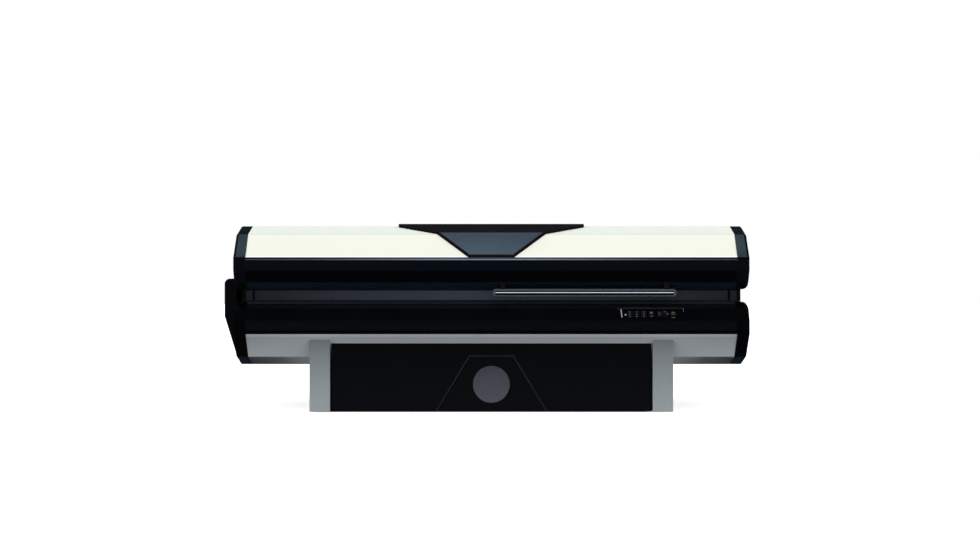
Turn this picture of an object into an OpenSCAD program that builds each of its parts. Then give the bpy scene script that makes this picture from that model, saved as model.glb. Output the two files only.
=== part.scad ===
// Red light therapy bed: a lying tub on two saddle legs, with a canopy that hinges along
// the rear and is closed here. The length runs along X, the front faces -Y and Z is up.
// The origin lies on the floor, under the middle of the whole object.
// Insets are distances in from the upright nose of the front or of the rear face.

/* [Overall] */
// Length of the long panels between the end caps
panel_l = 2200; // [2000:10:2400]
// Width of each end cap along the length
cap_w = 55; // [48:1:80]
// Depth of the body from the front nose to the rear nose
body_d = 1100; // [1060:10:1200]
// Wall of the shells, bands, covers and caps
skin = 5; // [4:0.5:6]
// Radius of the cap corners next to the parting gap
cap_round = 27; // [15:1:29]

/* [Tub section] */
// Height of the flat underside above the floor
belly_z = 205; // [180:1:240]
// Height of the shallow facet beside the flat underside
low_facet_h = 41.5; // [30:0.5:55]
// Height of the steep silver facet
main_facet_h = 105.5; // [95:0.5:120]
// Height of the set-back lip over the silver facet
lip_h = 16; // [10:1:22]
// Height of the upright nose
nose_h = 45; // [40:0.5:56]
// Height of the leaning band that holds the controls
control_band_h = 54; // [50:0.5:60]
// Height of the shoulder slope
shoulder_h = 19; // [12:1:26]
// Height of the upright edge of the rim
rim_h = 10; // [8:1:16]
// Inset where the flat underside starts
low_facet_in = 264; // [230:1:300]
// Inset of the fold between the two silver facets
main_facet_in = 108; // [95:1:125]
// Inset of the top of the silver facet
lip_in = 8; // [4:1:14]
// Inset of the lip
lip_set = 2; // [1:0.5:4]
// Inset of the top of the leaning band
shoulder_in = 36; // [30:1:42]
// Inset of the rim's upright edge
rim_in = 80; // [74:1:84]

/* [Canopy section] */
// Open gap between the tub's rim and the canopy's waist
parting_gap = 6; // [4:1:10]
// Height of the waist
waist_h = 50; // [44:1:60]
// Height of the slope under the canopy
under_slope_h = 31; // [24:1:38]
// Height of the band that leans in towards the waist
lean_h = 53; // [44:1:62]
// Height of the upright band
upright_h = 45; // [38:1:54]
// Height of the trim strip
strip_h = 14; // [10:1:18]
// Height of the large white facet
white_facet_h = 106; // [96:1:120]
// Height of the shallow facet beside the flat roof
roof_facet_h = 40; // [30:1:52]
// Inset of the waist wall
waist_in = 88; // [86:1:96]
// Inset of the lower edge of the under slope
canopy_rim_in = 75; // [68:1:82]
// Inset of the lower edge of the leaning band
lean_in = 33; // [26:1:38]
// Inset of the lower edge of the white facet
white_in = 5; // [3:1:8]
// Inset of the fold between the white facets
fold_in = 108; // [96:1:120]
// Inset where the flat roof starts
roof_in = 264; // [240:1:290]
// Depth of the trim strip
strip_d = 15; // [13:1:24]
// Depth of the groove above and below the light line of the trim strip
strip_groove = 3; // [1:0.5:5]
// Groups of warm-air slots in the rear white panel
vent_groups = 5; // [3:1:6]
// Slots in a group
vents = 9; // [5:2:11]
// Centre distance of the slots in a group
vent_pitch = 22; // [18:1:24]
// Width of a slot
vent_w = 8; // [5:1:10]
// Height of a slot
vent_h = 40; // [20:1:50]

/* [Sheets and lamps] */
// Inset of the inner edge of the rim flanges, where the dish of the bed sheet starts
flange_in = 150; // [146:1:156]
// Depth of the flanges at the lip and at the trim strip
small_flange = 45; // [30:1:50]
// Depth of the dish in the bed sheet
bed_dip = 96; // [80:1:105]
// Thickness of the bed sheet
bed_t = 8; // [6:1:10]
// How far the foot of the arched sheet stands out over the flange's inner edge
arch_lap = 10; // [4:1:16]
// Rise of the arched sheet
arch_rise = 188; // [170:1:195]
// Thickness of the arched sheet
arch_t = 6; // [4:1:8]
// Width of the fixing edge along each side of both sheets
sheet_edge = 50; // [45:1:55]
// Distance of both sheets from the ends of the long panels
sheet_end = 40; // [36:1:60]
// Air gap between a sheet and its lamp boards
lamp_gap = 20; // [14:1:24]
// Width of a lamp board
board_w = 100; // [80:1:104]
// Thickness of a lamp board
board_t = 2; // [1.5:0.5:3]
// Number of boards in a row along the length
boards_along = 3; // [2:1:4]
// Gap between lamp boards along the length
board_gap = 6; // [4:1:12]
// Clear length between the last lamp board and the end wall
board_end_gap = 5; // [2:1:10]
// Centre distance of the rows under the bed sheet
bed_pitch = 110; // [107:1:114]
// Centre distance of the rows over the arched sheet
arch_pitch = 111; // [108:1:113]
// Height of a heat sink with its fins
sink_h = 25; // [18:1:28]
// Thickness of a heat sink's base
sink_base = 4; // [3:0.5:6]
// Number of fins on a heat sink
fins = 9; // [6:1:12]
// Thickness of a fin
fin_t = 2; // [1.5:0.5:3]

/* [Frames] */
// Thickness of the steel ribs
rib_t = 4; // [3:0.5:6]
// Ribs between the two end ribs
mid_ribs = 3; // [2:1:4]
// Width of the long rails of the tub and canopy frames
rail_w = 30; // [24:1:32]
// Height of the long rails of the tub and canopy frames
rail_h = 40; // [30:1:44]
// Wall of the frame tubes
tube_t = 3; // [2:0.5:4]
// Thickness of the end walls of the lying space
end_wall_t = 6; // [4:1:8]
// Width of the holes that lighten the ribs
rib_hole = 70; // [50:5:80]
// Inset of the outermost hole in the tub's ribs
tub_hole_in = 220; // [210:1:240]
// Inset of the outermost hole in the canopy's end ribs
canopy_hole_in = 290; // [280:1:310]

/* [Base] */
// Height of the foot pads
pad_h = 3; // [2:0.5:8]
// Diameter of the foot pads
pad_d = 60; // [40:1:70]
// Length of the foot plate over each pad
foot_l = 126; // [100:2:160]
// Distance of a leg's inner side from the middle of the body
leg_x = 724; // [660:1:760]
// Width of a leg along the length
leg_w = 92; // [80:1:120]
// Inset of a leg's front
leg_in = 32; // [24:1:44]
// Wall of the legs
leg_t = 3; // [2:0.5:5]
// Inset of the base panels
base_in = 48; // [46:1:60]
// Gap between the base panels and the floor
base_floor_gap = 4; // [3:1:12]
// Thickness of the base panels
base_t = 5; // [4:0.5:8]
// Shadow gap between the face of a base panel and the legs
shadow_gap = 6; // [3:0.5:10]
// Depth of the folded edges of the base panels
base_fold = 25; // [15:1:40]
// Height of the top line of the groove in the front panel
groove_z = 255; // [215:1:265]
// Half length of the groove's top line
groove_top = 100; // [80:1:140]
// Half length of the groove's foot
groove_foot = 252; // [200:1:320]
// Width of the groove
groove_w = 5; // [3:0.5:8]
// Depth of the groove
groove_t = 2; // [1:0.5:2.5]
// Diameter of the medallion
medal_d = 166; // [140:1:180]
// Height of the medallion's centre
medal_z = 125; // [105:1:140]
// Thickness of the medallion
medal_t = 6; // [4:0.5:10]
// Height of the base frame's long tubes
beam_h = 60; // [50:1:70]
// Width of the base frame's tubes
beam_w = 40; // [36:1:50]
// Height of the underside of the base frame
beam_z = 20; // [14:1:30]
// Inset of the middle of the long tubes
beam_in = 130; // [118:1:150]
// Distance of the cross tubes from the middle of the body
cross_x = 480; // [440:10:540]
// Distance of the risers in from where the flat underside starts
riser_in = 36; // [34:1:50]
// Thickness of the steel plates in the base
plate_t = 6; // [5:0.5:8]
// Diameter of the leg bolts
bolt_d = 10; // [8:1:12]
// Length of a power supply
supply_l = 215; // [180:5:220]
// Width of a power supply
supply_w = 115; // [100:1:120]
// Height of a power supply
supply_h = 45; // [30:1:60]
// Distance of the power supplies from the middle of the body
supply_y = 150; // [130:1:160]
// Place of the mains inlet along the length
inlet_x = 560; // [520:1:620]
// Height of the mains inlet
inlet_z = 110; // [90:1:160]
// Width of the mains inlet's body
inlet_w = 40; // [36:1:44]
// Height of the mains inlet's body
inlet_h = 26; // [24:1:30]
// Distance of the two groups of air slots in the rear base panel from the middle
louvre_x = 290; // [150:10:380]
// Air slots in a group
louvres = 12; // [8:2:14]
// Centre distance of the air slots
louvre_pitch = 16; // [14:1:18]
// Height of an air slot
louvre_h = 106; // [60:2:120]
// Width of an air slot
louvre_w = 6; // [4:1:8]
// Height of the air slots' middle
louvre_z = 160; // [130:1:170]

/* [Controls] */
// Distance of the control panel's middle from the end of the long panels
control_end = 385.5; // [300:0.5:500]
// Length of the control panel
control_l = 297; // [280:1:320]
// Thickness of the control panel
control_t = 3; // [2:0.5:4]
// Travel of the keys
key_travel = 0.8; // [0.5:0.1:1]
// Height of the level keys along the slope
key_h = 34; // [28:1:36]
// Width of the level keys
key_w = 25; // [20:1:27]
// Diameter of the power key
power_d = 32; // [26:1:36]
// How far the keys stand over the panel
key_proud = 1; // [0.8:0.1:2]

/* [Fan end] */
// Reach of the fan housing out from the end cap
fan_reach = 58.5; // [50:0.5:70]
// Length of the fan housing from front to back
fan_l = 800; // [600:10:820]
// Height of the top of the fan housing
fan_top_z = 600; // [590:1:620]
// Height of the foot of the fan housing
fan_foot_z = 240; // [236:1:280]
// Height where the fan housing starts to taper in
fan_knee_z = 430; // [415:1:435]
// Radius of the fan housing's top corner
fan_round = 25; // [15:1:30]
// Wall of the fan housing
fan_wall = 4; // [3:0.5:5]
// Clearance between the fan housing and the canopy's cap
fan_clear = 4; // [3:0.5:8]
// Side of the square fans
fan_size = 120; // [110:1:125]
// Thickness of the fans
fan_t = 25; // [20:1:28]
// Distance of the fans from the middle of the body
fan_y = 200; // [120:5:300]
// Height of the fans' centres
fan_z = 503; // [498:1:512]
// Number of blades on a fan
blades = 7; // [5:1:9]
// Length of each window from the tub into the fan housing
fan_window_l = 240; // [200:10:260]
// Distance of the windows from the housing's foot and from the rim
fan_window_in = 40; // [30:1:60]
// Thickness of the finger guards
guard_t = 2.5; // [2:0.5:4]

/* [Badge plate] */
// Thickness of the dark plate over the middle of the canopy
badge_t = 11; // [8:1:14]
// Half width of the plate over the flat roof
badge_top = 426; // [380:1:460]
// Half width of the plate at the fold
badge_fold = 247; // [200:1:280]
// Half width of the plate at the foot of the white facet
badge_foot = 103; // [80:1:130]
// Inset of the plate's tips, in front of the flat roof
badge_tip_in = 240; // [200:1:260]
// Width of the dark border beside the inlay
badge_border = 3; // [2:0.5:14]
// How far the inlay reaches over the fold between the white facets
inlay_over = 7; // [0:0.5:7]
// Height of the dark border under the inlay
badge_foot_h = 13; // [8:1:20]
// Thickness of the inlay
inlay_t = 3; // [2:0.5:5]
// Air slots in a row across the rear of the plate
plate_slots = 17; // [9:2:19]
// Centre distance of these slots
plate_slot_pitch = 40; // [30:1:42]
// Length of these slots
plate_slot_l = 130; // [80:5:150]
// Width of these slots
plate_slot_w = 10; // [6:1:14]
// Distance of these slots from the plate's rear edge
plate_slot_end = 60; // [30:5:80]

/* [Handle] */
// Diameter of the handle bar
bar_d = 27; // [22:0.5:30]
// Start of the handle bar along the length
bar_x0 = 5; // [0:1:40]
// End of the handle bar along the length
bar_x1 = 831; // [780:1:860]
// Inset of the handle bar's axis
bar_in = 35; // [33:1:38]
// Depth of the handle bar's axis under the canopy's slope foot
bar_drop = 11; // [8:1:14]
// Width of a handle bracket
bracket_w = 22; // [16:1:30]
// Distance of the brackets from the bar's ends
bracket_end = 46; // [34:1:60]
// Depth of a bracket's foot on the slope
bracket_foot = 34; // [28:1:38]
// Thickness of a bracket's foot
bracket_t = 4; // [3:0.5:6]
// How far a bracket's foot stands out at each side
bracket_side = 5; // [3:1:12]

/* [Hinges and struts] */
// Diameter of the rubber bumpers on the tub's rim
bumper_d = 14; // [10:1:15]
// Inset of the hinge axis from the rear nose
hinge_in = 50; // [48:1:54]
// Height of the hinge axis over the tub's rim
hinge_up = 24; // [22:1:28]
// Length of one hinge
hinge_l = 120; // [90:1:150]
// Diameter of the hinge knuckles
knuckle_d = 24; // [20:1:28]
// Diameter of the hinge pins
pin_d = 10; // [8:0.5:12]
// Thickness of the hinge leaves
leaf_t = 5; // [4:0.5:6]
// Depth of a hinge leaf in from the hinge axis
leaf_in = 20; // [15:1:24]
// Depth of a hinge leaf out from the hinge axis
leaf_out = 11; // [8:1:13]
// Distance of the outer hinges from the middle of the body
hinge_x = 900; // [800:10:980]
// Distance of the strut pins from the hinge axis
strut_r = 240; // [236:1:244]
// Angle of the strut pins above and below the hinge axis
strut_a = 40; // [39:0.5:41]
// Diameter of the strut cylinders
strut_d = 28; // [24:1:30]
// Diameter of the strut rods
rod_d = 10; // [8:1:12]
// Length from the lower pin to the top of the strut cylinder
cylinder_l = 240; // [232:1:250]
// Length from the upper pin to the end of the strut rod
rod_l = 230; // [225:1:240]
// Diameter of the strut pins
strut_pin_d = 10; // [8:0.5:12]

/* [Clearances] */
// Radial clearance of a pin in its bore
pin_fit = 0.05; // [0.02:0.01:0.1]
// Radial clearance of the sliding strut parts
slide_fit = 0.25; // [0.2:0.05:0.35]
// Clearance between pieces that are set beside each other
seat = 0.3; // [0.2:0.1:0.5]

/* [Hidden] */
$fn = 48;

// Heights of the section's corners above the floor
z_facet = belly_z + low_facet_h;
z_lip = z_facet + main_facet_h;
z_nose0 = z_lip + lip_h;
z_nose = z_nose0 + nose_h;
z_shoulder = z_nose + control_band_h;
z_rim0 = z_shoulder + shoulder_h;
z_rim = z_rim0 + rim_h;
z_waist = z_rim + parting_gap;
z_under = z_waist + waist_h;
z_lean = z_under + under_slope_h;
z_upright = z_lean + lean_h;
z_strip = z_upright + upright_h;
z_white = z_strip + strip_h;
z_fold = z_white + white_facet_h;
z_roof = z_fold + roof_facet_h;

// Half sizes, and where pieces end along the length
half_d = body_d / 2;
beam_y = half_d - beam_in;
riser_y = half_d - low_facet_in - riser_in;
end_x = panel_l / 2;
cap_x = end_x + cap_w;
fan_x = cap_x + fan_reach;
sheet_x = end_x - sheet_end;
wall_x = sheet_x + end_wall_t;
rib_x = wall_x + rib_t;
// The fan housing makes the left end longer, so the body sits off centre to the right
mid_shift = (fan_x + guard_t - cap_x) / 2;

// How far a profile runs past the place where it is cut open
run_out = 40;

// Dish of the bed sheet, arch of the canopy sheet
bed_w = 2 * (half_d - flange_in);
arch_w = bed_w + 2 * arch_lap;
dish_r = (pow(bed_w / 2, 2) + pow(bed_dip, 2)) / (2 * bed_dip);
dish_z = z_rim - skin + dish_r - bed_dip;
arch_r = (pow(arch_w / 2, 2) + pow(arch_rise, 2)) / (2 * arch_rise);
arch_z = z_under + skin + arch_rise - arch_r;
bed_board_r = dish_r + bed_t + lamp_gap;
arch_board_r = arch_r + arch_t + lamp_gap;
// Radius that clears the corners of a flat heat sink, seen from the arc's centre
bed_rib_r = norm([bed_board_r + board_t + sink_h, board_w / 2]) + seat;
arch_rib_r = norm([arch_board_r + board_t + sink_h, board_w / 2]) + seat;
bed_step = bed_pitch / bed_board_r * 180 / PI;
arch_step = arch_pitch / arch_board_r * 180 / PI;
// As many rows as the arc holds, with a quarter of a row left free beside the rails
bed_rows = floor(2 * asin(bed_w / 2 / dish_r) / bed_step - 0.25);
arch_rows = floor(2 * asin(arch_w / 2 / arch_r) / arch_step - 0.25);
lamp_l = 2 * (sheet_x - board_end_gap);
board_l = (lamp_l - (boards_along - 1) * board_gap) / boards_along;

// Hinge axis at the rear, strut pins, strut length
hinge_y = half_d - hinge_in;
hinge_z = z_rim + hinge_up;
strut_y = hinge_y - strut_r * cos(strut_a);
strut_z0 = hinge_z - strut_r * sin(strut_a);
strut_z1 = hinge_z + strut_r * sin(strut_a);
strut_x = end_x + 3;
eye_d = 24;
eye_w = 12;
eye_neck = 25;
gland_h = 8;
piston_h = 12;
piston_wall = 2.5;
// The strut leans by half the opening angle, so its slots are as long as this lean asks
open_a = 50;
slot_back = strut_y + (z_rim - strut_z0) * tan(open_a / 2) + strut_d / 2 / cos(open_a / 2) + 2;
slot_front = strut_y - strut_d / 2 - 3;
slot_side = strut_d / 2 + 2;

// The leaning band that carries the controls
control_a = atan2(control_band_h, shoulder_in);
control_w = norm([control_band_h, shoulder_in]);
control_c = [end_x - control_end, shoulder_in / 2 - half_d, (z_nose + z_shoulder) / 2];
window_l = control_l - 24;
window_w = control_w - 12;
key_flange = 2;
key_flange_t = 1.6;
key_gap = key_travel + 0.4;
board_top = -seat - key_flange_t - key_gap;
level_keys = [-94, -62.5, -31.5];
timer_u = 2.3;
session_u = 51.5;
power_u = 99.9;
session_w = 48;

// Base frame: how far its end plates reach past their tube, the shelf past the risers, the
// half depth of the riser plates, and the places of the leg bolts beside and over the tube
end_plate_side = 20;
end_plate_low = 5;
end_plate_high = 25;
shelf_over = 80;
riser_plate = 34;
bolt_side = 9;
bolt_low = 8;
bolt_high = 12;
bolt_head_d = 1.7 * bolt_d;
bolt_head_h = 6.4;
bolt_out = 12;
nut_h = 8;

// Power supplies: free length between them, stepped terminal end, fixing lugs
supply_gap = 50;
terminal_l = 22;
lug_l = 14;
lug_w = 24;
lug_t = 3;
lug_hole = 5;

// Waist: its ends past the long panels, and the breaks between its front panel's three parts
waist_over = 25;
waist_t = 3;
break_in = 33;
break_out = 22;
waist_panel_over = 7;

// Fans: open back of the housing, finger guards, frames and axles
back_side = 20;
back_low = 30;
back_high = 8;
fan_bore = fan_size - 6;
ring_w = 2;
spoke_w = 3;
fan_hole_d = 4.3;
fan_hole_in = 7.5;
spider_t = 3;
spider_d = 36;
axle_d = 5;
rotor_clear = 4.5;
rotor_hub_d = 38;

// Strut pins stand past the eye, on bosses that stop short of it
strut_pin_over = 3;
boss_wall = 5;
boss_gap = 1;

// Hinge pins stand past the knuckles and have a head at one end
pin_over = 1;
pin_head_t = 3;
pin_head_d = pin_d + 5;

bar_z = z_under - bar_drop;
leg_mid = leg_x + leg_w / 2;
shelf_z = beam_z + beam_h;

white = "#f1f5ec";
black = "#0b0d11";
band_black = "#0a0c10";
cap_black = "#20242b";
silver = "#868b90";
leg_silver = "#7c8186";
steel = "#5c6066";
lamp = "#f2f2f2";
chrome = "#c9ccce";
acrylic = "#dfe6ea";

// Y of an inset from the front nose
function fy(d) = d - half_d;
// A closed outline, front half given as [inset, height], rear half mirrored
function both(pts) = concat(
  [for (p = pts) [fy(p[0]), p[1]]],
  [for (i = [len(pts) - 1:-1:0]) [-fy(pts[i][0]), pts[i][1]]]
);
// One side's outline at the front
function side(pts) = [for (p = pts) [fy(p[0]), p[1]]];
// Height of the silver facet, the shoulder slope and the slope under the canopy at an inset
function facet_at(d) = z_lip - (d - lip_in) * main_facet_h / (main_facet_in - lip_in);
function shoulder_at(d) = z_shoulder + (d - shoulder_in) * shoulder_h / (rim_in - shoulder_in);
function slope_at(d) = z_under + (canopy_rim_in - d) * under_slope_h / (canopy_rim_in - lean_in);

module placed() { translate([mid_shift, 0, 0]) children(); }
// A section drawn in Y and Z, drawn out along X
module along_x(x0, x1) { translate([x0, 0, 0]) rotate([90, 0, 90]) linear_extrude(x1 - x0) children(); }
// A side view drawn in X and Z, drawn out along Y
module along_y(y0, y1) { translate([0, y1, 0]) rotate([90, 0, 0]) linear_extrude(y1 - y0) children(); }
module both_sides() { children(); mirror([0, 1, 0]) children(); }
module both_ends() { children(); mirror([1, 0, 0]) children(); }
// A block between two corners
module block(a, b) { translate(a) cube(b - a); }
// A square tube along X, between two corners
module tube_x(a, b, t) {
  difference() {
    block(a, b);
    block(a + [-1, t, t], b + [1, -t, -t]);
  }
}
// A square tube along Y, between two corners
module tube_y(a, b, t) {
  difference() {
    block(a, b);
    block(a + [t, -1, t], b + [-t, 1, -t]);
  }
}
// A rectangle in X and Z with the corner at [x1, z1] rounded; z1 may lie above or below z0
module corner_plate(x0, x1, z0, z1, r) {
  s = sign(z1 - z0);
  translate([x0, min(z0, z1)]) square([x1 - x0 - r, abs(z1 - z0)]);
  translate([x0, min(z0, z1 - s * r)]) square([x1 - x0, abs(z1 - z0) - r]);
  translate([x1 - r, z1 - s * r]) circle(r);
}

// Sections of the tub
module under_section(up) {
  slope = (main_facet_in - lip_in) / main_facet_h;
  polygon(both([[lip_in - up * slope, z_lip + up], [main_facet_in, z_facet], [low_facet_in, belly_z]]));
}
module tub_band_section(back) {
  polygon(side([
    [flange_in + back, z_rim], [rim_in, z_rim], [rim_in, z_rim0], [shoulder_in, z_shoulder], [0, z_nose],
    [0, z_nose0], [lip_set, z_nose0], [lip_set, z_lip], [flange_in + back, z_lip]
  ]));
}
module tub_outline() {
  polygon(both([
    [rim_in, z_rim], [rim_in, z_rim0], [shoulder_in, z_shoulder], [0, z_nose], [0, z_lip],
    [main_facet_in, z_facet], [low_facet_in, belly_z]
  ]));
}
// Sections of the canopy
module canopy_band_section(back) {
  polygon(side([
    [flange_in + back, z_under], [canopy_rim_in, z_under], [lean_in, z_lean], [0, z_upright],
    [0, z_strip], [flange_in + back, z_strip]
  ]));
}
module canopy_outline() {
  polygon(both([
    [canopy_rim_in, z_under], [lean_in, z_lean], [0, z_upright], [0, z_white], [fold_in, z_fold],
    [roof_in, z_roof]
  ]));
}
module roof_section(down) {
  slope = (fold_in - white_in) / white_facet_h;
  polygon(both([[white_in - down * slope, z_white - down], [fold_in, z_fold], [roof_in, z_roof]]));
}

// Base
module base_frame() {
  beam_x = leg_x - plate_t;
  color(steel) placed() difference() {
    union() {
      both_sides() {
        tube_x([-beam_x, beam_y - beam_w / 2, beam_z], [beam_x, beam_y + beam_w / 2, shelf_z], tube_t);
        both_ends() block(
          [beam_x, beam_y - beam_w / 2 - end_plate_side, beam_z - end_plate_low],
          [leg_x, beam_y + beam_w / 2 + end_plate_side, shelf_z + end_plate_high]
        );
      }
      for (x = [-cross_x, 0, cross_x]) tube_y(
        [x - beam_w / 2, -beam_y + beam_w / 2, beam_z], [x + beam_w / 2, beam_y - beam_w / 2, shelf_z], tube_t
      );
      block(
        [-cross_x - beam_w, -riser_y - shelf_over, shelf_z],
        [cross_x + beam_w, riser_y + shelf_over, shelf_z + tube_t]
      );
      both_sides() both_ends() {
        block(
          [cross_x - beam_w / 2, riser_y - beam_w / 2, shelf_z + tube_t],
          [cross_x + beam_w / 2, riser_y + beam_w / 2, belly_z - plate_t]
        );
        block(
          [cross_x - beam_w, riser_y - riser_plate, belly_z - plate_t],
          [cross_x + beam_w, riser_y + riser_plate, belly_z]
        );
      }
    }
    bolt_places() cylinder(d = bolt_d + 2 * seat, h = 60, center = true);
  }
}
// Where the leg bolts go, with their axes along X and Z up from the leg's inner side
module bolt_places() {
  both_ends() both_sides() for (z = [beam_z + bolt_low, shelf_z + bolt_high])
    translate([leg_x, beam_y + (z > shelf_z ? 0 : beam_w / 2 + bolt_side), z]) rotate([0, 90, 0]) children();
}
module leg_bolts() {
  color(chrome) placed() bolt_places() {
    translate([0, 0, -plate_t - bolt_head_h]) cylinder(d = bolt_head_d, h = bolt_head_h, $fn = 6);
    translate([0, 0, -plate_t]) cylinder(d = bolt_d, h = plate_t + leg_t + bolt_out);
    translate([0, 0, leg_t]) difference() {
      cylinder(d = bolt_head_d, h = nut_h, $fn = 6);
      translate([0, 0, -1]) cylinder(d = bolt_d + 2 * pin_fit, h = nut_h + 2);
    }
  }
}
module leg_section(down) {
  polygon(both([
    [leg_in, pad_h - down], [leg_in, facet_at(leg_in)], [main_facet_in, z_facet], [low_facet_in, belly_z]
  ]));
}
module leg() {
  foot_y = half_d - leg_in - leg_t;
  difference() {
    along_x(leg_x, leg_x + leg_w) leg_section(0);
    along_x(leg_x + leg_t, leg_x + leg_w - leg_t) offset(delta = -leg_t) leg_section(run_out);
    bolt_places() cylinder(d = bolt_d + 2 * seat, h = 20, center = true);
  }
  both_sides() block(
    [leg_x + leg_t, foot_y - foot_l, pad_h], [leg_x + leg_w - leg_t, foot_y, pad_h + plate_t]
  );
}
module left_leg() { color(leg_silver) placed() mirror([1, 0, 0]) leg(); }
module right_leg() { color(leg_silver) placed() leg(); }
module foot_pads() {
  pad_y = half_d - leg_in - leg_t - foot_l / 2;
  color(black) placed() both_ends() both_sides() translate([leg_mid, pad_y, 0])
    cylinder(d1 = pad_d - 2 * pad_h, d2 = pad_d, h = pad_h);
}
// A base panel stands between the legs and ends just under the silver facet
module base_panel() {
  x = leg_x - shadow_gap;
  y = fy(base_in + base_fold);
  along_x(-x, x) difference() {
    polygon(side([
      [base_in, base_floor_gap], [base_in, facet_at(base_in)], [base_in + base_t, facet_at(base_in)],
      [base_in + base_t, base_floor_gap]
    ]));
    offset(delta = seat) under_section(run_out);
  }
  // Its ends fold back and then out to the legs, so that a dark gap shows beside each leg
  both_ends() {
    block([x - base_t, fy(base_in + base_t), base_floor_gap], [x, y, belly_z]);
    block([x - base_t, y - base_t, base_floor_gap], [leg_x - seat, y, belly_z]);
  }
}
module base_front_panel() {
  slope = (groove_foot - groove_top) / (groove_z - base_floor_gap);
  color(black) placed() difference() {
    base_panel();
    along_y(fy(base_in) - 1, fy(base_in) + groove_t) difference() {
      groove_line(0, slope);
      groove_line(groove_w, slope);
    }
  }
}
// The trapezoid that the groove follows, drawn smaller by the groove's width
module groove_line(in, slope) {
  side_in = in * norm([1, slope]);
  polygon([
    [-groove_foot - slope * 9 + side_in, base_floor_gap - 9],
    [-groove_top + side_in - slope * in, groove_z - in],
    [groove_top - side_in + slope * in, groove_z - in],
    [groove_foot + slope * 9 - side_in, base_floor_gap - 9]
  ]);
}
module base_rear_panel() {
  color(black) placed() difference() {
    mirror([0, 1, 0]) base_panel();
    both_ends() for (i = [1:louvres]) louvre_slot(louvre_x + (i - (louvres + 1) / 2) * louvre_pitch);
    translate([inlet_x, -fy(base_in) + 1, inlet_z]) rotate([90, 0, 0])
      linear_extrude(base_t + 2) square([inlet_w + 2 * seat, inlet_h + 2 * seat], center = true);
  }
}
// A tall air slot with round ends, through the rear base panel
module louvre_slot(x) {
  translate([x, 0, 0]) along_y(-fy(base_in + base_t) - 1, -fy(base_in) + 1) {
    translate([0, louvre_z]) square([louvre_w, louvre_h - louvre_w], center = true);
    for (z = [-0.5, 0.5] * (louvre_h - louvre_w)) translate([0, louvre_z + z]) circle(d = louvre_w);
  }
}
module base_medallion() {
  // A plain domed disc with a raised rim and one shallow ring, turned about its own axis
  r = medal_d / 2;
  color("#1c1e22") placed() translate([0, fy(base_in), medal_z]) rotate([90, 0, 0]) rotate_extrude($fn = 96)
    polygon([
      [0, 0], [r, 0], [r, medal_t - 2], [r - 2, medal_t], [r - 8, medal_t], [r - 10, medal_t - 2],
      [r - 22, medal_t - 2], [r - 24, medal_t - 3], [r - 28, medal_t - 3], [r - 30, medal_t - 2],
      [r - 50, medal_t - 1], [0, medal_t]
    ]);
}
module power_supplies() {
  color("#8d9296") placed() for (x = [-1.5:1:1.5]) both_sides()
    translate([x * (supply_l + supply_gap), supply_y, shelf_z + tube_t]) power_supply();
}
// A boxed supply with a stepped lid, screw terminals and a fixing lug at each end
module power_supply() {
  step_x = supply_l / 2 - terminal_l;
  block([-supply_l / 2, -supply_w / 2, 0], [step_x, supply_w / 2, supply_h]);
  block([step_x, -supply_w / 2, 0], [supply_l / 2, supply_w / 2, 4]);
  block([step_x, -supply_w / 2 + 8, 4], [supply_l / 2 - 6, supply_w / 2 - 8, supply_h * 0.45]);
  both_ends() difference() {
    block([supply_l / 2, -lug_w / 2, 0], [supply_l / 2 + lug_l, lug_w / 2, lug_t]);
    translate([supply_l / 2 + 8, 0, -1]) cylinder(d = lug_hole, h = lug_t + 2);
  }
}
module mains_inlet() {
  // Flanged appliance inlet: a deep rectangular cup with three flat pins
  color("#141416") placed() translate([inlet_x, -fy(base_in), inlet_z]) rotate([-90, 0, 0]) {
    difference() {
      union() {
        translate([-inlet_w / 2 - 9, -inlet_h / 2 - 4, 0]) cube([inlet_w + 18, inlet_h + 8, 3]);
        translate([-inlet_w / 2, -inlet_h / 2, -26]) cube([inlet_w, inlet_h, 27]);
      }
      translate([4 - inlet_w / 2, 3.5 - inlet_h / 2, -21]) cube([inlet_w - 8, inlet_h - 7, 30]);
      for (x = [-0.5, 0.5] * (inlet_w + 9)) translate([x, 0, -1]) cylinder(d = 3.4, h = 6);
    }
    for (x = [-9, 0, 9]) translate([x - 1.2, x == 0 ? 0 : -5, -22]) cube([2.4, 5, 18]);
  }
}

// Tub
module tub_under_shell() {
  color(silver) placed() along_x(-end_x, end_x) difference() {
    under_section(0);
    offset(delta = -skin) under_section(run_out);
  }
}
module tub_band_shape() {
  difference() {
    tub_band_section(0);
    offset(delta = -skin) tub_band_section(run_out);
    polygon(side([
      [small_flange, z_lip - 1], [small_flange, z_lip + skin + 1], [flange_in + 1, z_lip + skin + 1],
      [flange_in + 1, z_lip - 1]
    ]));
  }
}
module on_control_band() { translate(control_c) rotate([control_a, 0, 0]) children(); }
module tub_front_band() {
  color(band_black) placed() difference() {
    along_x(-end_x, end_x) tub_band_shape();
    on_control_band()
      translate([-window_l / 2, -window_w / 2, -skin - 3]) cube([window_l, window_w, skin + 6]);
  }
}
module tub_rear_band() {
  color(band_black) placed() mirror([0, 1, 0]) along_x(-end_x, end_x) tub_band_shape();
}
module strut_slot(z0, z1) {
  block([strut_x - slot_side, slot_front, z0], [strut_x + slot_side, slot_back, z1]);
}
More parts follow.
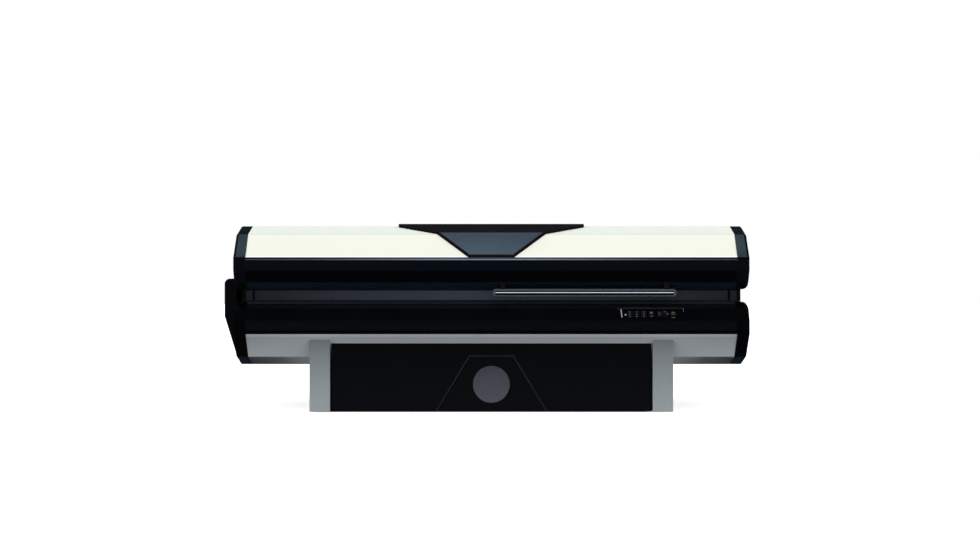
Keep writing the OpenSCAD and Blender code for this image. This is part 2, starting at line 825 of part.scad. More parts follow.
// A tub cap: a shell over the tub's end, with a deck tongue that runs in to the end rib
module tub_end_cap() {
  difference() {
    intersection() {
      along_x(end_x, cap_x) tub_outline();
      along_y(-half_d, half_d) corner_plate(end_x, cap_x, belly_z - 1, z_rim, cap_round);
    }
    intersection() {
      along_x(end_x - 1, cap_x - skin) offset(delta = -skin) tub_outline();
      along_y(-half_d, half_d)
        corner_plate(end_x - 1, cap_x - skin, belly_z - 1, z_rim - skin, cap_round - skin);
    }
    strut_slot(z_rim - skin - 1, z_rim + 1);
  }
  difference() {
    block([rib_x, fy(flange_in) + seat, z_rim - skin], [end_x, -fy(flange_in) - seat, z_rim]);
    strut_slot(z_rim - skin - 1, z_rim + 1);
  }
}
module tub_end_cap_right() { color(cap_black) placed() tub_end_cap(); }
module tub_end_cap_left() {
  color(cap_black) placed() difference() {
    mirror([1, 0, 0]) tub_end_cap();
    // Air passes from the tub into the fan housing through two windows
    for (y = [-fan_y, fan_y]) block(
      [-cap_x - 1, y - fan_window_l / 2, fan_foot_z + fan_window_in],
      [-cap_x + skin + 1, y + fan_window_l / 2, z_rim - fan_window_in]
    );
  }
}
// The shape inside the tub that a rib fills
module tub_rib_shape() {
  top = z_rim - skin - bed_t - rail_h;
  y = half_d - small_flange - seat;
  intersection() {
    offset(delta = -skin) under_section(run_out * 3);
    translate([-y, belly_z]) square([2 * y, top - belly_z]);
  }
}
// A strut pin and its boss, out from an end rib
module strut_pin(z) {
  translate([rib_x, strut_y, z]) rotate([0, 90, 0]) {
    cylinder(d = strut_pin_d, h = strut_x + eye_w / 2 + strut_pin_over - rib_x);
    cylinder(d = strut_pin_d + 2 * boss_wall, h = strut_x - eye_w / 2 - boss_gap - rib_x);
  }
}
rib_places = [for (i = [1:mid_ribs]) -rib_x + i * 2 * rib_x / (mid_ribs + 1)];
module tub_frame() {
  hole_pitch = (half_d - tub_hole_in) / 3;
  rail_z = z_rim - skin - bed_t;
  rail_y = bed_w / 2 + sheet_edge;
  color(steel) placed() {
    for (x = rib_places) along_x(x - rib_t / 2, x + rib_t / 2) difference() {
      tub_rib_shape();
      translate([0, dish_z]) circle(bed_rib_r, $fn = 200);
      for (y = [-3:3]) translate([y * hole_pitch, z_facet + 30 + abs(y) * 3]) circle(d = rib_hole * 0.7);
    }
    both_ends() {
      along_x(wall_x, rib_x) difference() {
        tub_rib_shape();
        for (y = [-3:2]) translate([y * hole_pitch, z_facet + 50]) circle(d = rib_hole);
      }
      strut_pin(strut_z0);
    }
    both_sides() tube_x([-rib_x, rail_y - rail_w, rail_z - rail_h], [rib_x, rail_y, rail_z], tube_t);
  }
}
module bed_sheet() {
  top = z_rim - skin;
  y = bed_w / 2 + sheet_edge;
  color(acrylic, 0.6) placed() along_x(-sheet_x, sheet_x) difference() {
    union() {
      difference() {
        translate([0, dish_z]) circle(dish_r + bed_t, $fn = 200);
        translate([-dish_r * 2, top]) square([dish_r * 4, dish_r * 4]);
      }
      translate([-y, top - bed_t]) square([2 * y, bed_t]);
    }
    translate([0, dish_z]) circle(dish_r, $fn = 200);
  }
}
module both_edges() { children(); mirror([1, 0]) children(); }
// Lamp boards set round an arc; up is -1 for the bed and 1 for the canopy
module lamp_boards(z, r, rows, step, up) {
  for (i = [0:rows - 1], j = [0:boards_along - 1])
    translate([-lamp_l / 2 + j * (board_l + board_gap), 0, z]) rotate([(i - (rows - 1) / 2) * step, 0, 0])
      translate([0, -board_w / 2, up > 0 ? r : -r - board_t]) cube([board_l, board_w, board_t]);
}
// Finned heat sinks behind each row of boards
module heat_sinks(z, r, rows, step, up) {
  for (i = [0:rows - 1]) translate([0, 0, z]) rotate([(i - (rows - 1) / 2) * step, 0, 0])
    along_x(-lamp_l / 2, lamp_l / 2) mirror([0, up > 0 ? 0 : 1]) translate([0, r + board_t]) {
      translate([-board_w / 2, 0]) square([board_w, sink_base]);
      for (k = [0:fins - 1])
        translate([-board_w / 2 + k * (board_w - fin_t) / (fins - 1), 0]) square([fin_t, sink_h]);
    }
}
module bed_lamp_boards() {
  color(lamp) placed() lamp_boards(dish_z, bed_board_r, bed_rows, bed_step, -1);
}
module bed_heat_sinks() {
  color(chrome) placed() heat_sinks(dish_z, bed_board_r, bed_rows, bed_step, -1);
}
module bed_end_walls() {
  y = -fy(flange_in) - seat;
  low = z_rim - skin - bed_dip - bed_t - lamp_gap;
  color(white) placed() both_ends() along_x(sheet_x, wall_x) difference() {
    translate([-y, low]) square([2 * y, z_rim - low]);
    // The corners are notched round the frame's rails
    both_edges()
      translate([bed_w / 2 + sheet_edge - rail_w - seat, 0]) square([rail_w * 2, z_rim - skin]);
  }
}

// Controls, drawn flat and laid on the leaning band
module key_shape(w, h, grow) {
  r = 3;
  translate([-w / 2 - grow, -h / 2 + r - grow]) square([w + 2 * grow, h - 2 * r + 2 * grow]);
  translate([-w / 2 + r - grow, -h / 2 - grow]) square([w - 2 * r + 2 * grow, h + 2 * grow]);
  for (x = [-1, 1], y = [-1, 1])
    translate([x * (w / 2 - r + grow), y * (h / 2 - r + grow)]) circle(r);
}
module control_bezel() {
  color("#121013") placed() on_control_band() {
    difference() {
      translate([-control_l / 2, -control_w / 2, 0]) cube([control_l, control_w, control_t]);
      translate([0, 0, -1]) linear_extrude(control_t + 2) {
        for (u = concat(level_keys, [timer_u])) translate([u, 0]) key_shape(key_w, key_h, seat);
        translate([session_u, 0]) key_shape(session_w, key_h, seat);
      }
      translate([power_u, 0, -1]) cylinder(d = power_d + 2 * seat, h = control_t + 2);
    }
    for (x = [-1, 1], y = [-1, 1]) translate([x * (window_l / 2 - 6), y * (window_w / 2 - 4), board_top])
      cylinder(d = 5, h = -board_top);
  }
}
module control_board() {
  color("#1d5a34") placed() on_control_band()
    translate([-window_l / 2 + 1, -window_w / 2 + 1, board_top - 1.6]) cube([window_l - 2, window_w - 2, 1.6]);
}
module key_at(u, w, h) {
  color("#17151a") placed() on_control_band() translate([u, 0, -seat - key_flange_t]) {
    linear_extrude(key_flange_t) key_shape(w, h, key_flange - 1);
    linear_extrude(seat + key_flange_t + control_t + key_proud) key_shape(w, h, 0);
  }
}
module level_key_1() { key_at(level_keys[0], key_w, key_h); }
module level_key_2() { key_at(level_keys[1], key_w, key_h); }
module level_key_3() { key_at(level_keys[2], key_w, key_h); }
module timer_key() { key_at(timer_u, key_w, key_h); }
module session_key() { key_at(session_u, session_w, key_h); }
module power_key() {
  color("#17151a") placed() on_control_band() translate([power_u, 0, -seat - key_flange_t]) {
    cylinder(d = power_d + 2 * key_flange - 2, h = key_flange_t);
    cylinder(d = power_d, h = seat + key_flange_t + control_t + key_proud);
  }
}

// Fan end
module housing_side() {
  polygon([
    [cap_x, fan_foot_z], [fan_x, fan_knee_z], [fan_x, fan_top_z - fan_round],
    [fan_x - fan_round, fan_top_z - fan_round], [fan_x - fan_round, fan_top_z],
    [cap_x + fan_clear, fan_top_z], [cap_x + fan_clear, z_rim], [cap_x, z_rim - cap_round]
  ]);
  translate([fan_x - fan_round, fan_top_z - fan_round]) circle(fan_round);
}
module fan_places() {
  for (y = [-fan_y, fan_y]) translate([-fan_x, y, fan_z]) rotate([0, 90, 0]) children();
}
module fan_housing() {
  y = fan_l / 2;
  color(black) placed() difference() {
    mirror([1, 0, 0]) along_y(-y, y) housing_side();
    mirror([1, 0, 0]) along_y(-y + fan_wall, y - fan_wall) offset(delta = -fan_wall) housing_side();
    block(
      [-cap_x - fan_wall * 2, -y + back_side, fan_foot_z + back_low],
      [-cap_x + 1, y - back_side, z_rim - cap_round - back_high]
    );
    fan_places() translate([0, 0, -1]) cylinder(d = fan_bore, h = fan_wall + 2);
  }
}
module fan_guards() {
  // Finger guards of round rings on crossed spokes, over each fan
  r = fan_size / 2 - 1;
  rings = 5;
  color(chrome) placed() fan_places() translate([0, 0, -guard_t]) linear_extrude(guard_t) {
    for (i = [1:rings]) difference() {
      circle(r * i / rings);
      circle(r * i / rings - ring_w);
    }
    for (a = [45, 135]) rotate(a) square([2 * r - ring_w, spoke_w], center = true);
  }
}
module fan_frames() {
  h = fan_size / 2;
  color("#1b1d20") placed() fan_places() translate([0, 0, fan_wall]) {
    linear_extrude(fan_t) difference() {
      square(fan_size, center = true);
      circle(d = fan_size - 5);
      for (x = [-1, 1], y = [-1, 1])
        translate([x * (h - fan_hole_in), y * (h - fan_hole_in)]) circle(d = fan_hole_d);
    }
    // A spider of three spokes carries the bearing disc and the axle
    translate([0, 0, fan_t - spider_t]) linear_extrude(spider_t) {
      circle(d = spider_d);
      for (a = [30, 150, 270]) rotate(a) translate([0, -2.5]) square([h - 1, 5]);
    }
    translate([0, 0, 6]) cylinder(d = axle_d, h = fan_t - 6 - spider_t);
  }
}
module fan_rotor(y) {
  tip = fan_size / 2 - rotor_clear;
  wide = fan_t - 2 * rotor_clear;
  color("#26282c") placed() translate([-fan_x + fan_wall + rotor_clear, y, fan_z]) rotate([0, 90, 0]) {
    difference() {
      union() {
        cylinder(d = rotor_hub_d, h = wide);
        intersection() {
          cylinder(r = tip, h = wide);
          for (a = [1:blades]) rotate([0, 0, a * 360 / blades]) translate([16, 0, wide / 2]) rotate([52, 0, 0])
            translate([0, -1, -wide]) cube([fan_size, 2, 2 * wide]);
        }
      }
      translate([0, 0, 1.5]) cylinder(d = axle_d + 2 * pin_fit, h = wide);
    }
  }
}
module fan_rotor_front() { fan_rotor(-fan_y); }
module fan_rotor_rear() { fan_rotor(fan_y); }

// Canopy
module canopy_band_shape() {
  difference() {
    canopy_band_section(0);
    offset(delta = -skin) canopy_band_section(run_out);
    polygon(side([
      [small_flange, z_strip + 1], [small_flange, z_strip - skin - 1], [flange_in + 1, z_strip - skin - 1],
      [flange_in + 1, z_strip + 1]
    ]));
  }
}
module canopy_front_band() { color(band_black) placed() along_x(-end_x, end_x) canopy_band_shape(); }
module canopy_rear_band() {
  color(band_black) placed() mirror([0, 1, 0]) along_x(-end_x, end_x) canopy_band_shape();
}
module canopy_trim_strips() {
  // Each strip has a light line standing out between two grooves
  h = strip_h;
  g = strip_groove;
  color("#6b7987") placed() both_sides() along_x(-end_x, end_x) polygon(side([
    [g, z_strip], [g, z_strip + h * 0.3], [0, z_strip + h * 0.36], [0, z_strip + h * 0.64],
    [g, z_strip + h * 0.7], [g, z_white], [strip_d, z_white], [strip_d, z_strip]
  ]));
}
module roof_shell() {
  difference() {
    roof_section(0);
    offset(delta = -skin) roof_section(run_out);
  }
}
module canopy_front_panel() {
  color(white) placed() along_x(-end_x, end_x) intersection() {
    roof_shell();
    translate([-half_d, z_white]) square([half_d, z_fold - z_white]);
  }
}
module canopy_rear_panel() {
  color(white) placed() difference() {
    along_x(-end_x, end_x) intersection() {
      roof_shell();
      translate([0, z_white]) square([half_d, z_fold - z_white]);
    }
    for (g = [1:vent_groups], i = [1:vents]) translate([
      (g - (vent_groups + 1) / 2) * panel_l / (vent_groups + 1) + (i - (vents + 1) / 2) * vent_pitch,
      half_d / 2, (z_white + z_fold) / 2
    ]) cube([vent_w, half_d, vent_h], center = true);
  }
}
module canopy_top_panel() {
  color(white) placed() along_x(-end_x, end_x) intersection() {
    roof_shell();
    translate([-half_d, z_fold]) square([2 * half_d, z_roof - z_fold + 1]);
  }
}
module canopy_end_cap() {
  difference() {
    intersection() {
      along_x(end_x, cap_x) canopy_outline();
      along_y(-half_d, half_d) corner_plate(end_x, cap_x, z_roof + 1, z_under, cap_round);
    }
    intersection() {
      along_x(end_x - 1, cap_x - skin) offset(delta = -skin) canopy_outline();
      along_y(-half_d, half_d)
        corner_plate(end_x - 1, cap_x - skin, z_roof + 1, z_under + skin, cap_round - skin);
    }
    strut_slot(z_under - 1, z_under + skin + 1);
  }
  difference() {
    block([rib_x, fy(flange_in) + seat, z_under], [end_x, -fy(flange_in) - seat, z_under + skin]);
    strut_slot(z_under - 1, z_under + skin + 1);
  }
}
module canopy_end_cap_left() { color(cap_black) placed() mirror([1, 0, 0]) canopy_end_cap(); }
module canopy_end_cap_right() { color(cap_black) placed() canopy_end_cap(); }
module waist_skirt() {
  x = end_x + waist_over;
  y = half_d - waist_in;
  color(black) placed() translate([0, 0, z_waist]) linear_extrude(waist_h) difference() {
    square([2 * x, 2 * y], center = true);
    square([2 * (x - skin), 2 * (y - skin)], center = true);
  }
}
module waist_panel() {
  y = fy(waist_in);
  color("#2f343d") placed() {
    block([-end_x + break_in, y - waist_t, z_waist + 1], [end_x - break_in, y, z_under - 5]);
    both_ends()
      block([end_x - break_out, y - waist_t, z_waist + 1], [end_x + waist_panel_over, y, z_under - 5]);
  }
}
// The shape inside the canopy that a rib fills
module canopy_rib_shape() {
  low = z_under + skin + arch_t;
  y = half_d - small_flange - seat;
  intersection() {
    offset(delta = -skin) roof_section(run_out * 5);
    translate([-y, low]) square([2 * y, z_roof - low]);
    offset(delta = -skin - seat) canopy_outline();
  }
}
module canopy_frame() {
  hole_pitch = (half_d - canopy_hole_in) / 2;
  rail_z = z_under + skin + arch_t;
  rail_y = arch_w / 2 + sheet_edge;
  color(steel) placed() {
    for (x = rib_places) along_x(x - rib_t / 2, x + rib_t / 2) difference() {
      canopy_rib_shape();
      translate([0, arch_z]) circle(arch_rib_r, $fn = 200);
    }
    both_ends() {
      along_x(wall_x, rib_x) difference() {
        canopy_rib_shape();
        for (y = [-2:2]) translate([y * hole_pitch, z_upright + 23 - 3 * abs(y)]) circle(d = rib_hole);
      }
      strut_pin(strut_z1);
    }
    both_sides() tube_x([-rib_x, rail_y - rail_w, rail_z], [rib_x, rail_y, rail_z + rail_h], tube_t);
  }
}
module canopy_sheet() {
  low = z_under + skin;
  y = arch_w / 2 + sheet_edge;
  color(acrylic, 0.6) placed() along_x(-sheet_x, sheet_x) difference() {
    union() {
      difference() {
        translate([0, arch_z]) circle(arch_r + arch_t, $fn = 200);
        translate([-arch_r * 2, low - arch_r * 4]) square([arch_r * 4, arch_r * 4]);
      }
      translate([-y, low]) square([2 * y, arch_t]);
    }
    translate([0, arch_z]) circle(arch_r, $fn = 200);
  }
}
module canopy_lamp_boards() {
  color(lamp) placed() lamp_boards(arch_z, arch_board_r, arch_rows, arch_step, 1);
}
module canopy_heat_sinks() {
  color(chrome) placed() heat_sinks(arch_z, arch_board_r, arch_rows, arch_step, 1);
}
module canopy_end_walls() {
  low = z_under + skin;
  color(white) placed() both_ends() along_x(sheet_x, wall_x) difference() {
    translate([0, arch_z]) circle(arch_r + arch_t, $fn = 200);
    translate([-arch_r * 2, low - arch_r * 4]) square([arch_r * 4, arch_r * 4]);
  }
}

// The plate's outline seen from above; in is how far it is drawn smaller
module badge_plan(in) {
  polygon([
    [-badge_foot + in, fy(-20)], [-badge_foot + in, fy(white_in)], [-badge_fold + in, fy(fold_in)],
    [-badge_top + in, fy(badge_tip_in)], [-badge_top + in, -fy(roof_in) - in],
    [badge_top - in, -fy(roof_in) - in], [badge_top - in, fy(badge_tip_in)],
    [badge_fold - in, fy(fold_in)], [badge_foot - in, fy(white_in)],
    [badge_foot - in, fy(-20)]
  ]);
}
module badge_layer(t0, t1) {
  difference() {
    offset(delta = t1) roof_section(run_out);
    offset(delta = t0) roof_section(run_out);
    translate([-body_d, 0]) square([2 * body_d, z_white]);
    translate([-body_d, 0]) square([half_d, 2 * z_roof]);
  }
}
module inlay_body(grow) {
  intersection() {
    along_x(-badge_fold, badge_fold) intersection() {
      badge_layer(badge_t - inlay_t - grow, badge_t + grow * 5);
      translate([-half_d, z_white + badge_foot_h - grow])
        square([half_d, z_fold + inlay_over - z_white - badge_foot_h + 2 * grow]);
    }
    linear_extrude(2 * z_roof) badge_plan(badge_border - grow);
  }
}
module badge_plate() {
  color("#18141a") placed() difference() {
    intersection() {
      along_x(-badge_top, badge_top) badge_layer(0, badge_t);
      linear_extrude(2 * z_roof) badge_plan(0);
    }
    inlay_body(0.2);
    for (i = [1:plate_slots]) translate([
      (i - (plate_slots + 1) / 2) * plate_slot_pitch - plate_slot_w / 2,
      -fy(roof_in) - plate_slot_end - plate_slot_l, z_roof
    ]) cube([plate_slot_w, plate_slot_l, 2 * badge_t]);
  }
}
module badge_inlay() { color("#445463") placed() inlay_body(0); }

// Handle
module handle_bar() {
  color(chrome) placed() translate([0, fy(bar_in), bar_z]) {
    translate([bar_x0 + bar_d / 2, 0, 0]) rotate([0, 90, 0]) cylinder(d = bar_d, h = bar_x1 - bar_x0 - bar_d);
    for (x = [bar_x0 + bar_d / 2, bar_x1 - bar_d / 2]) translate([x, 0, 0]) sphere(d = bar_d);
  }
}
module handle_brackets() {
  arm = 0.37 * bar_d;
  front = lean_in + 1;
  back = front + bracket_foot;
  color("#17191c") placed() difference() {
    for (x = [bar_x0 + bracket_end, bar_x1 - bracket_end]) {
      along_x(x - bracket_w / 2, x + bracket_w / 2) polygon(side([
        [bar_in - arm, bar_z], [front, slope_at(front)], [bar_in + 1.4 * arm, slope_at(bar_in + 1.4 * arm)],
        [bar_in + arm, bar_z]
      ]));
      along_x(x - bracket_w / 2 - bracket_side, x + bracket_w / 2 + bracket_side) polygon(side([
        [front, slope_at(front)], [back, slope_at(back)], [back, slope_at(back) - bracket_t],
        [front, slope_at(front) - bracket_t]
      ]));
    }
    translate([0, fy(bar_in), bar_z]) rotate([0, 90, 0]) cylinder(d = bar_d + 0.2, h = bar_x1);
  }
}

// Hinges; each has two knuckles on the tub, one on the canopy, and a pin
hinge_places = [-hinge_x, -hinge_x / 3, hinge_x / 3, hinge_x];
third = hinge_l / 3;
knuckle_gap = 0.5;
module leaf_bore(x) {
  difference() {
    children();
    round_x(x - hinge_l, x + hinge_l, pin_d + 2 * pin_fit);
  }
}
// The arm from a knuckle to its leaf, between two places along the length
module knuckle_arm(x0, x1, z0, z1) {
  h = [hinge_in - knuckle_d / 4, hinge_in + knuckle_d / 4];
  round_x(x0, x1, knuckle_d);
  mirror([0, 1, 0]) along_x(x0, x1) polygon(side([[h[0], hinge_z], [h[0], z0], [h[1], z1], [h[1], hinge_z]]));
}
module round_x(x0, x1, d) {
  translate([x0, hinge_y, hinge_z]) rotate([0, 90, 0]) cylinder(d = d, h = x1 - x0);
}
module hinge_tub_leaves() {
  h = [hinge_in - leaf_out, hinge_in + leaf_in];
  color(steel) placed() for (x = hinge_places) leaf_bore(x) {
    for (k = [-third, third]) knuckle_arm(
      x + k - third / 2 + knuckle_gap, x + k + third / 2 - knuckle_gap,
      shoulder_at(hinge_in - knuckle_d / 4), shoulder_at(hinge_in + knuckle_d / 4)
    );
    mirror([0, 1, 0]) along_x(x - hinge_l / 2, x + hinge_l / 2) polygon(side([
      [h[0], shoulder_at(h[0])], [h[1], shoulder_at(h[1])], [h[1], shoulder_at(h[1]) + leaf_t],
      [h[0], shoulder_at(h[0]) + leaf_t]
    ]));
  }
}
module hinge_canopy_leaves() {
  h = [hinge_in - leaf_out, hinge_in + leaf_in];
  color(steel) placed() for (x = hinge_places) leaf_bore(x) {
    knuckle_arm(
      x - third / 2 + knuckle_gap, x + third / 2 - knuckle_gap,
      slope_at(hinge_in - knuckle_d / 4), slope_at(hinge_in + knuckle_d / 4)
    );
    mirror([0, 1, 0]) along_x(x - hinge_l / 2, x + hinge_l / 2) polygon(side([
      [h[0], slope_at(h[0])], [h[1], slope_at(h[1])], [h[1], slope_at(h[1]) - leaf_t],
      [h[0], slope_at(h[0]) - leaf_t]
    ]));
  }
}
module hinge_pins() {
  color(chrome) placed() for (x = hinge_places) {
    round_x(x - hinge_l / 2 - pin_over, x + hinge_l / 2 + pin_over, pin_d);
    round_x(x - hinge_l / 2 - pin_over - pin_head_t, x - hinge_l / 2 - pin_over, pin_head_d);
  }
}

// Gas struts: a cylinder on the tub's pin and a rod on the canopy's pin
module strut_eye(z) {
  translate([strut_x - eye_w / 2, strut_y, z]) rotate([0, 90, 0]) cylinder(d = eye_d, h = eye_w);
}
module strut_bore(z) {
  translate([strut_x - eye_w, strut_y, z]) rotate([0, 90, 0])
    cylinder(d = strut_pin_d + 2 * pin_fit, h = 2 * eye_w);
}
module strut_cylinder() {
  difference() {
    union() {
      strut_eye(strut_z0);
      translate([strut_x, strut_y, strut_z0 + eye_d / 2 - 2]) cylinder(d = eye_w, h = eye_neck - eye_d / 2 + 3);
      translate([strut_x, strut_y, strut_z0 + eye_neck]) cylinder(d = strut_d, h = cylinder_l - eye_neck);
    }
    strut_bore(strut_z0);
    translate([strut_x, strut_y, strut_z0 + eye_neck + 5])
      cylinder(d = strut_d - 2 * piston_wall, h = cylinder_l - eye_neck - 5 - gland_h);
    translate([strut_x, strut_y, strut_z0 + cylinder_l - gland_h - 1])
      cylinder(d = rod_d + 2 * slide_fit, h = gland_h + 2);
  }
}
module strut_rod() {
  difference() {
    union() {
      strut_eye(strut_z1);
      translate([strut_x, strut_y, strut_z1 - rod_l]) cylinder(d = rod_d, h = rod_l - eye_d / 2 + 3);
      translate([strut_x, strut_y, strut_z1 - rod_l])
        cylinder(d = strut_d - 2 * piston_wall - 2 * slide_fit, h = piston_h);
    }
    strut_bore(strut_z1);
  }
}
// A strut is alike on both sides of its own middle, so the left one is the right one moved across
module to_left() { translate([-2 * strut_x, 0, 0]) children(); }
// Rubber bumpers on the rim, just under the closed waist wall
module closing_bumpers() {
  y = half_d - waist_in - skin / 2;
  color(black) placed() for (x = [-0.75, -0.25, 0.25, 0.75] * end_x) both_sides()
    translate([x, y, z_rim]) cylinder(d = bumper_d, h = parting_gap - seat);
}
module strut_cylinder_left() { color(black) placed() to_left() strut_cylinder(); }
module strut_cylinder_right() { color(black) placed() strut_cylinder(); }
module strut_rod_left() { color(chrome) placed() to_left() strut_rod(); }
module strut_rod_right() { color(chrome) placed() strut_rod(); }

base_frame();
left_leg();
right_leg();
base_front_panel();
base_rear_panel();
base_medallion();
foot_pads();
power_supplies();
mains_inlet();
leg_bolts();
tub_under_shell();
tub_front_band();
tub_rear_band();
tub_end_cap_left();
tub_end_cap_right();
tub_frame();
bed_sheet();
bed_lamp_boards();
bed_heat_sinks();
bed_end_walls();
control_bezel();
control_board();
level_key_1();
level_key_2();
level_key_3();
timer_key();
session_key();
power_key();
fan_housing();
fan_guards();
fan_frames();
fan_rotor_front();
fan_rotor_rear();
canopy_frame();
waist_skirt();
waist_panel();
canopy_front_panel();
canopy_top_panel();
canopy_rear_panel();
canopy_front_band();
canopy_rear_band();
canopy_trim_strips();
canopy_end_cap_left();
canopy_end_cap_right();
badge_plate();
badge_inlay();
canopy_sheet();
canopy_lamp_boards();
canopy_heat_sinks();
canopy_end_walls();
handle_bar();
handle_brackets();
hinge_tub_leaves();
hinge_canopy_leaves();
hinge_pins();
strut_cylinder_left();
strut_cylinder_right();
strut_rod_left();
strut_rod_right();
closing_bumpers();
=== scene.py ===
import bmesh
import bpy
import mathutils
import numpy as np
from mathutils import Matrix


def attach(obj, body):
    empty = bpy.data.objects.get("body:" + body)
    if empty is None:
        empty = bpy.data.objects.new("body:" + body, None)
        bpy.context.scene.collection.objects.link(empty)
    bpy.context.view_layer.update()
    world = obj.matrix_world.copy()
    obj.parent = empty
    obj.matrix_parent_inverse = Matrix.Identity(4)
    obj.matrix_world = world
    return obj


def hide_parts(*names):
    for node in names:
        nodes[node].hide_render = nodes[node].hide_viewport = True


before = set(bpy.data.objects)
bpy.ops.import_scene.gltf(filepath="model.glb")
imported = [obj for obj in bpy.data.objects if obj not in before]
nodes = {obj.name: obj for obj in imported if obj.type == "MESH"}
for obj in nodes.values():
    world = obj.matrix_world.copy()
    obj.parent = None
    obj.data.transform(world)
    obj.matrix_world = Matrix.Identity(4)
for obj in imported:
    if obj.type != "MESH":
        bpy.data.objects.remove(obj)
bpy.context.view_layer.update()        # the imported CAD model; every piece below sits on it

# Base frame, bolts and foot pads
# A welded frame of square steel tube with riser posts, powder coated dark gray, bolted to
# the two legs with zinc-plated hexagon bolts; the legs stand on four black rubber pads.


def tone(code):
    """An sRGB hex colour as linear light: c / 12.92 up to 0.04045, above it
    ((c + 0.055) / 1.055) ^ 2.4."""
    c = np.array([int(code[i:i + 2], 16) for i in (1, 3, 5)]) / 255
    return (*np.where(c <= 0.04045, c / 12.92, ((c + 0.055) / 1.055) ** 2.4).tolist(), 1.0)


def add(tree, kind, inputs=(), **settings):
    """Adds a node with its settings; inputs is a dict of values, or of sockets to link from."""
    made = tree.nodes.new(kind)
    for key, value in settings.items():
        setattr(made, key, value)
    for key, value in dict(inputs).items():
        if isinstance(value, bpy.types.NodeSocket):
            tree.links.new(value, made.inputs[key])
        else:
            made.inputs[key].default_value = value
    return made


def wiring(made):
    """A material's node tree and its shader."""
    return made.node_tree, made.node_tree.nodes["Principled BSDF"]


def where(made):
    """The socket of a material's object coordinates, in metres."""
    return add(made.node_tree, "ShaderNodeTexCoord").outputs["Object"]


def blend(made, share, low, high, kind="MIX"):
    """The socket of two colours mixed by share, or multiplied, in a material or world."""
    mix = add(made.node_tree, "ShaderNodeMix", {0: share, 6: low, 7: high}, data_type="RGBA", blend_type=kind)
    return mix.outputs[2]


def wander(made, socket, low, high, size_mm, detail=2.0):
    """Lets a colour or a roughness wander between low and high in patches about size_mm wide."""
    tree, shader = wiring(made)
    noise = add(tree, "ShaderNodeTexNoise", {
        "Vector": where(made), "Scale": 1000 / size_mm, "Detail": detail})
    spread = add(tree, "ShaderNodeMapRange", {
        "Value": noise.outputs["Fac"], "From Min": 0.3, "From Max": 0.7})
    value = spread.outputs[0]
    if socket == "Base Color":
        value = blend(made, value, tone(low), tone(high))
    else:
        spread.inputs["To Min"].default_value, spread.inputs["To Max"].default_value = low, high
    tree.links.new(value, shader.inputs[socket])


def relief(made, size_mm, depth_mm, strength=1.0, stretch=(1, 1, 1)):
    """Gives the surface hills about size_mm wide and depth_mm deep; stretch draws them out along an axis."""
    tree, shader = wiring(made)
    place = add(tree, "ShaderNodeMapping", {"Vector": where(made), "Scale": stretch})
    noise = add(tree, "ShaderNodeTexNoise", {
        "Vector": place.outputs["Vector"], "Scale": 1000 / size_mm, "Detail": 2.0})
    bump = add(tree, "ShaderNodeBump", {
        "Height": noise.outputs["Fac"], "Strength": strength, "Distance": depth_mm / 1000})
    tree.links.new(bump.outputs["Normal"], shader.inputs["Normal"])


def finish(name, colour, hue=None, gloss=None, grain=None, **sockets):
    """A new material. sockets are its shader's constant values; hue and gloss are what wander takes for
    its colour and its roughness, and grain is what relief takes."""
    made = bpy.data.materials.new(name)
    made.use_nodes = True
    shader = wiring(made)[1]
    shader.inputs["Base Color"].default_value = tone(colour)
    for key, value in sockets.items():
        shader.inputs[key.replace("_", " ")].default_value = value
    if hue:
        wander(made, "Base Color", *hue)
    if gloss:
        wander(made, "Roughness", *gloss)
    if grain:
        relief(made, *grain)
    return made


def dress(name, material, ease_mm=0.0, steps=2):
    """Gives a CAD node its material and, with ease_mm, welds its triangles and breaks its sharp edges."""
    piece = nodes[name]
    piece.data.materials.clear()
    piece.data.materials.append(material)
    if ease_mm:
        weld = piece.modifiers.new("weld", "WELD")
        weld.merge_threshold = 0.00001
        edge = piece.modifiers.new("ease", "BEVEL")
        edge.width, edge.segments, edge.limit_method = ease_mm / 1000, steps, "ANGLE"
        edge.angle_limit, edge.harden_normals, edge.use_clamp_overlap = np.radians(32), True, True
    return piece


# Powder coat: baked polyester paint, even and satin, with the fine orange peel that breaks a highlight
powder_coat = finish(
    "powder_coated_steel", "#4c5056", Roughness=0.5, hue=("#474b51", "#52565c", 60), gloss=(0.44, 0.56, 25),
    grain=(1.6, 0.05))
# Zinc plating: thin, bluish and slightly cloudy over turned steel
zinc = finish(
    "zinc_plated_steel", "#b4b8bc", Metallic=0.6, Roughness=0.32, hue=("#a7acb3", "#c2c4c2", 9),
    gloss=(0.26, 0.42, 4))
# Moulded rubber: matt black with a faint bloom of dust in its grain
rubber = finish(
    "moulded_rubber", "#151515", Roughness=0.85, hue=("#121212", "#1d1c1b", 12), grain=(0.8, 0.05))
dress("base_frame", powder_coat, 1.2)
dress("leg_bolts", zinc, 0.4)
dress("foot_pads", rubber, 0.5)

# Power supplies and mains inlet
# Eight boxed supplies in folded aluminium cases stand on the base frame's shelf. The inlet is
# a moulded black appliance socket with nickel pins, screwed into the rear panel.

# Mill-finish aluminium: rolled sheet, its rolling lines drawn out along the length
mill_aluminium = finish(
    "mill_finish_aluminium", "#a9adb0", Metallic=0.6, Roughness=0.38, gloss=(0.32, 0.46, 14))
relief(mill_aluminium, 1.2, 0.02, stretch=(0.06, 1, 1))
# Moulded nylon: off-black with a light spark-eroded grain
moulded_nylon = finish(
    "moulded_black_nylon", "#16171a", Roughness=0.5, hue=("#131417", "#1a1b1f", 20), grain=(0.9, 0.03))
dress("power_supplies", mill_aluminium, 0.5)
dress("mains_inlet", moulded_nylon, 0.4)

# Legs
# Two saddle legs folded from sheet steel, open below and shaped to the tub's underside,
# lacquered a fine metallic silver; they carry the whole weight.

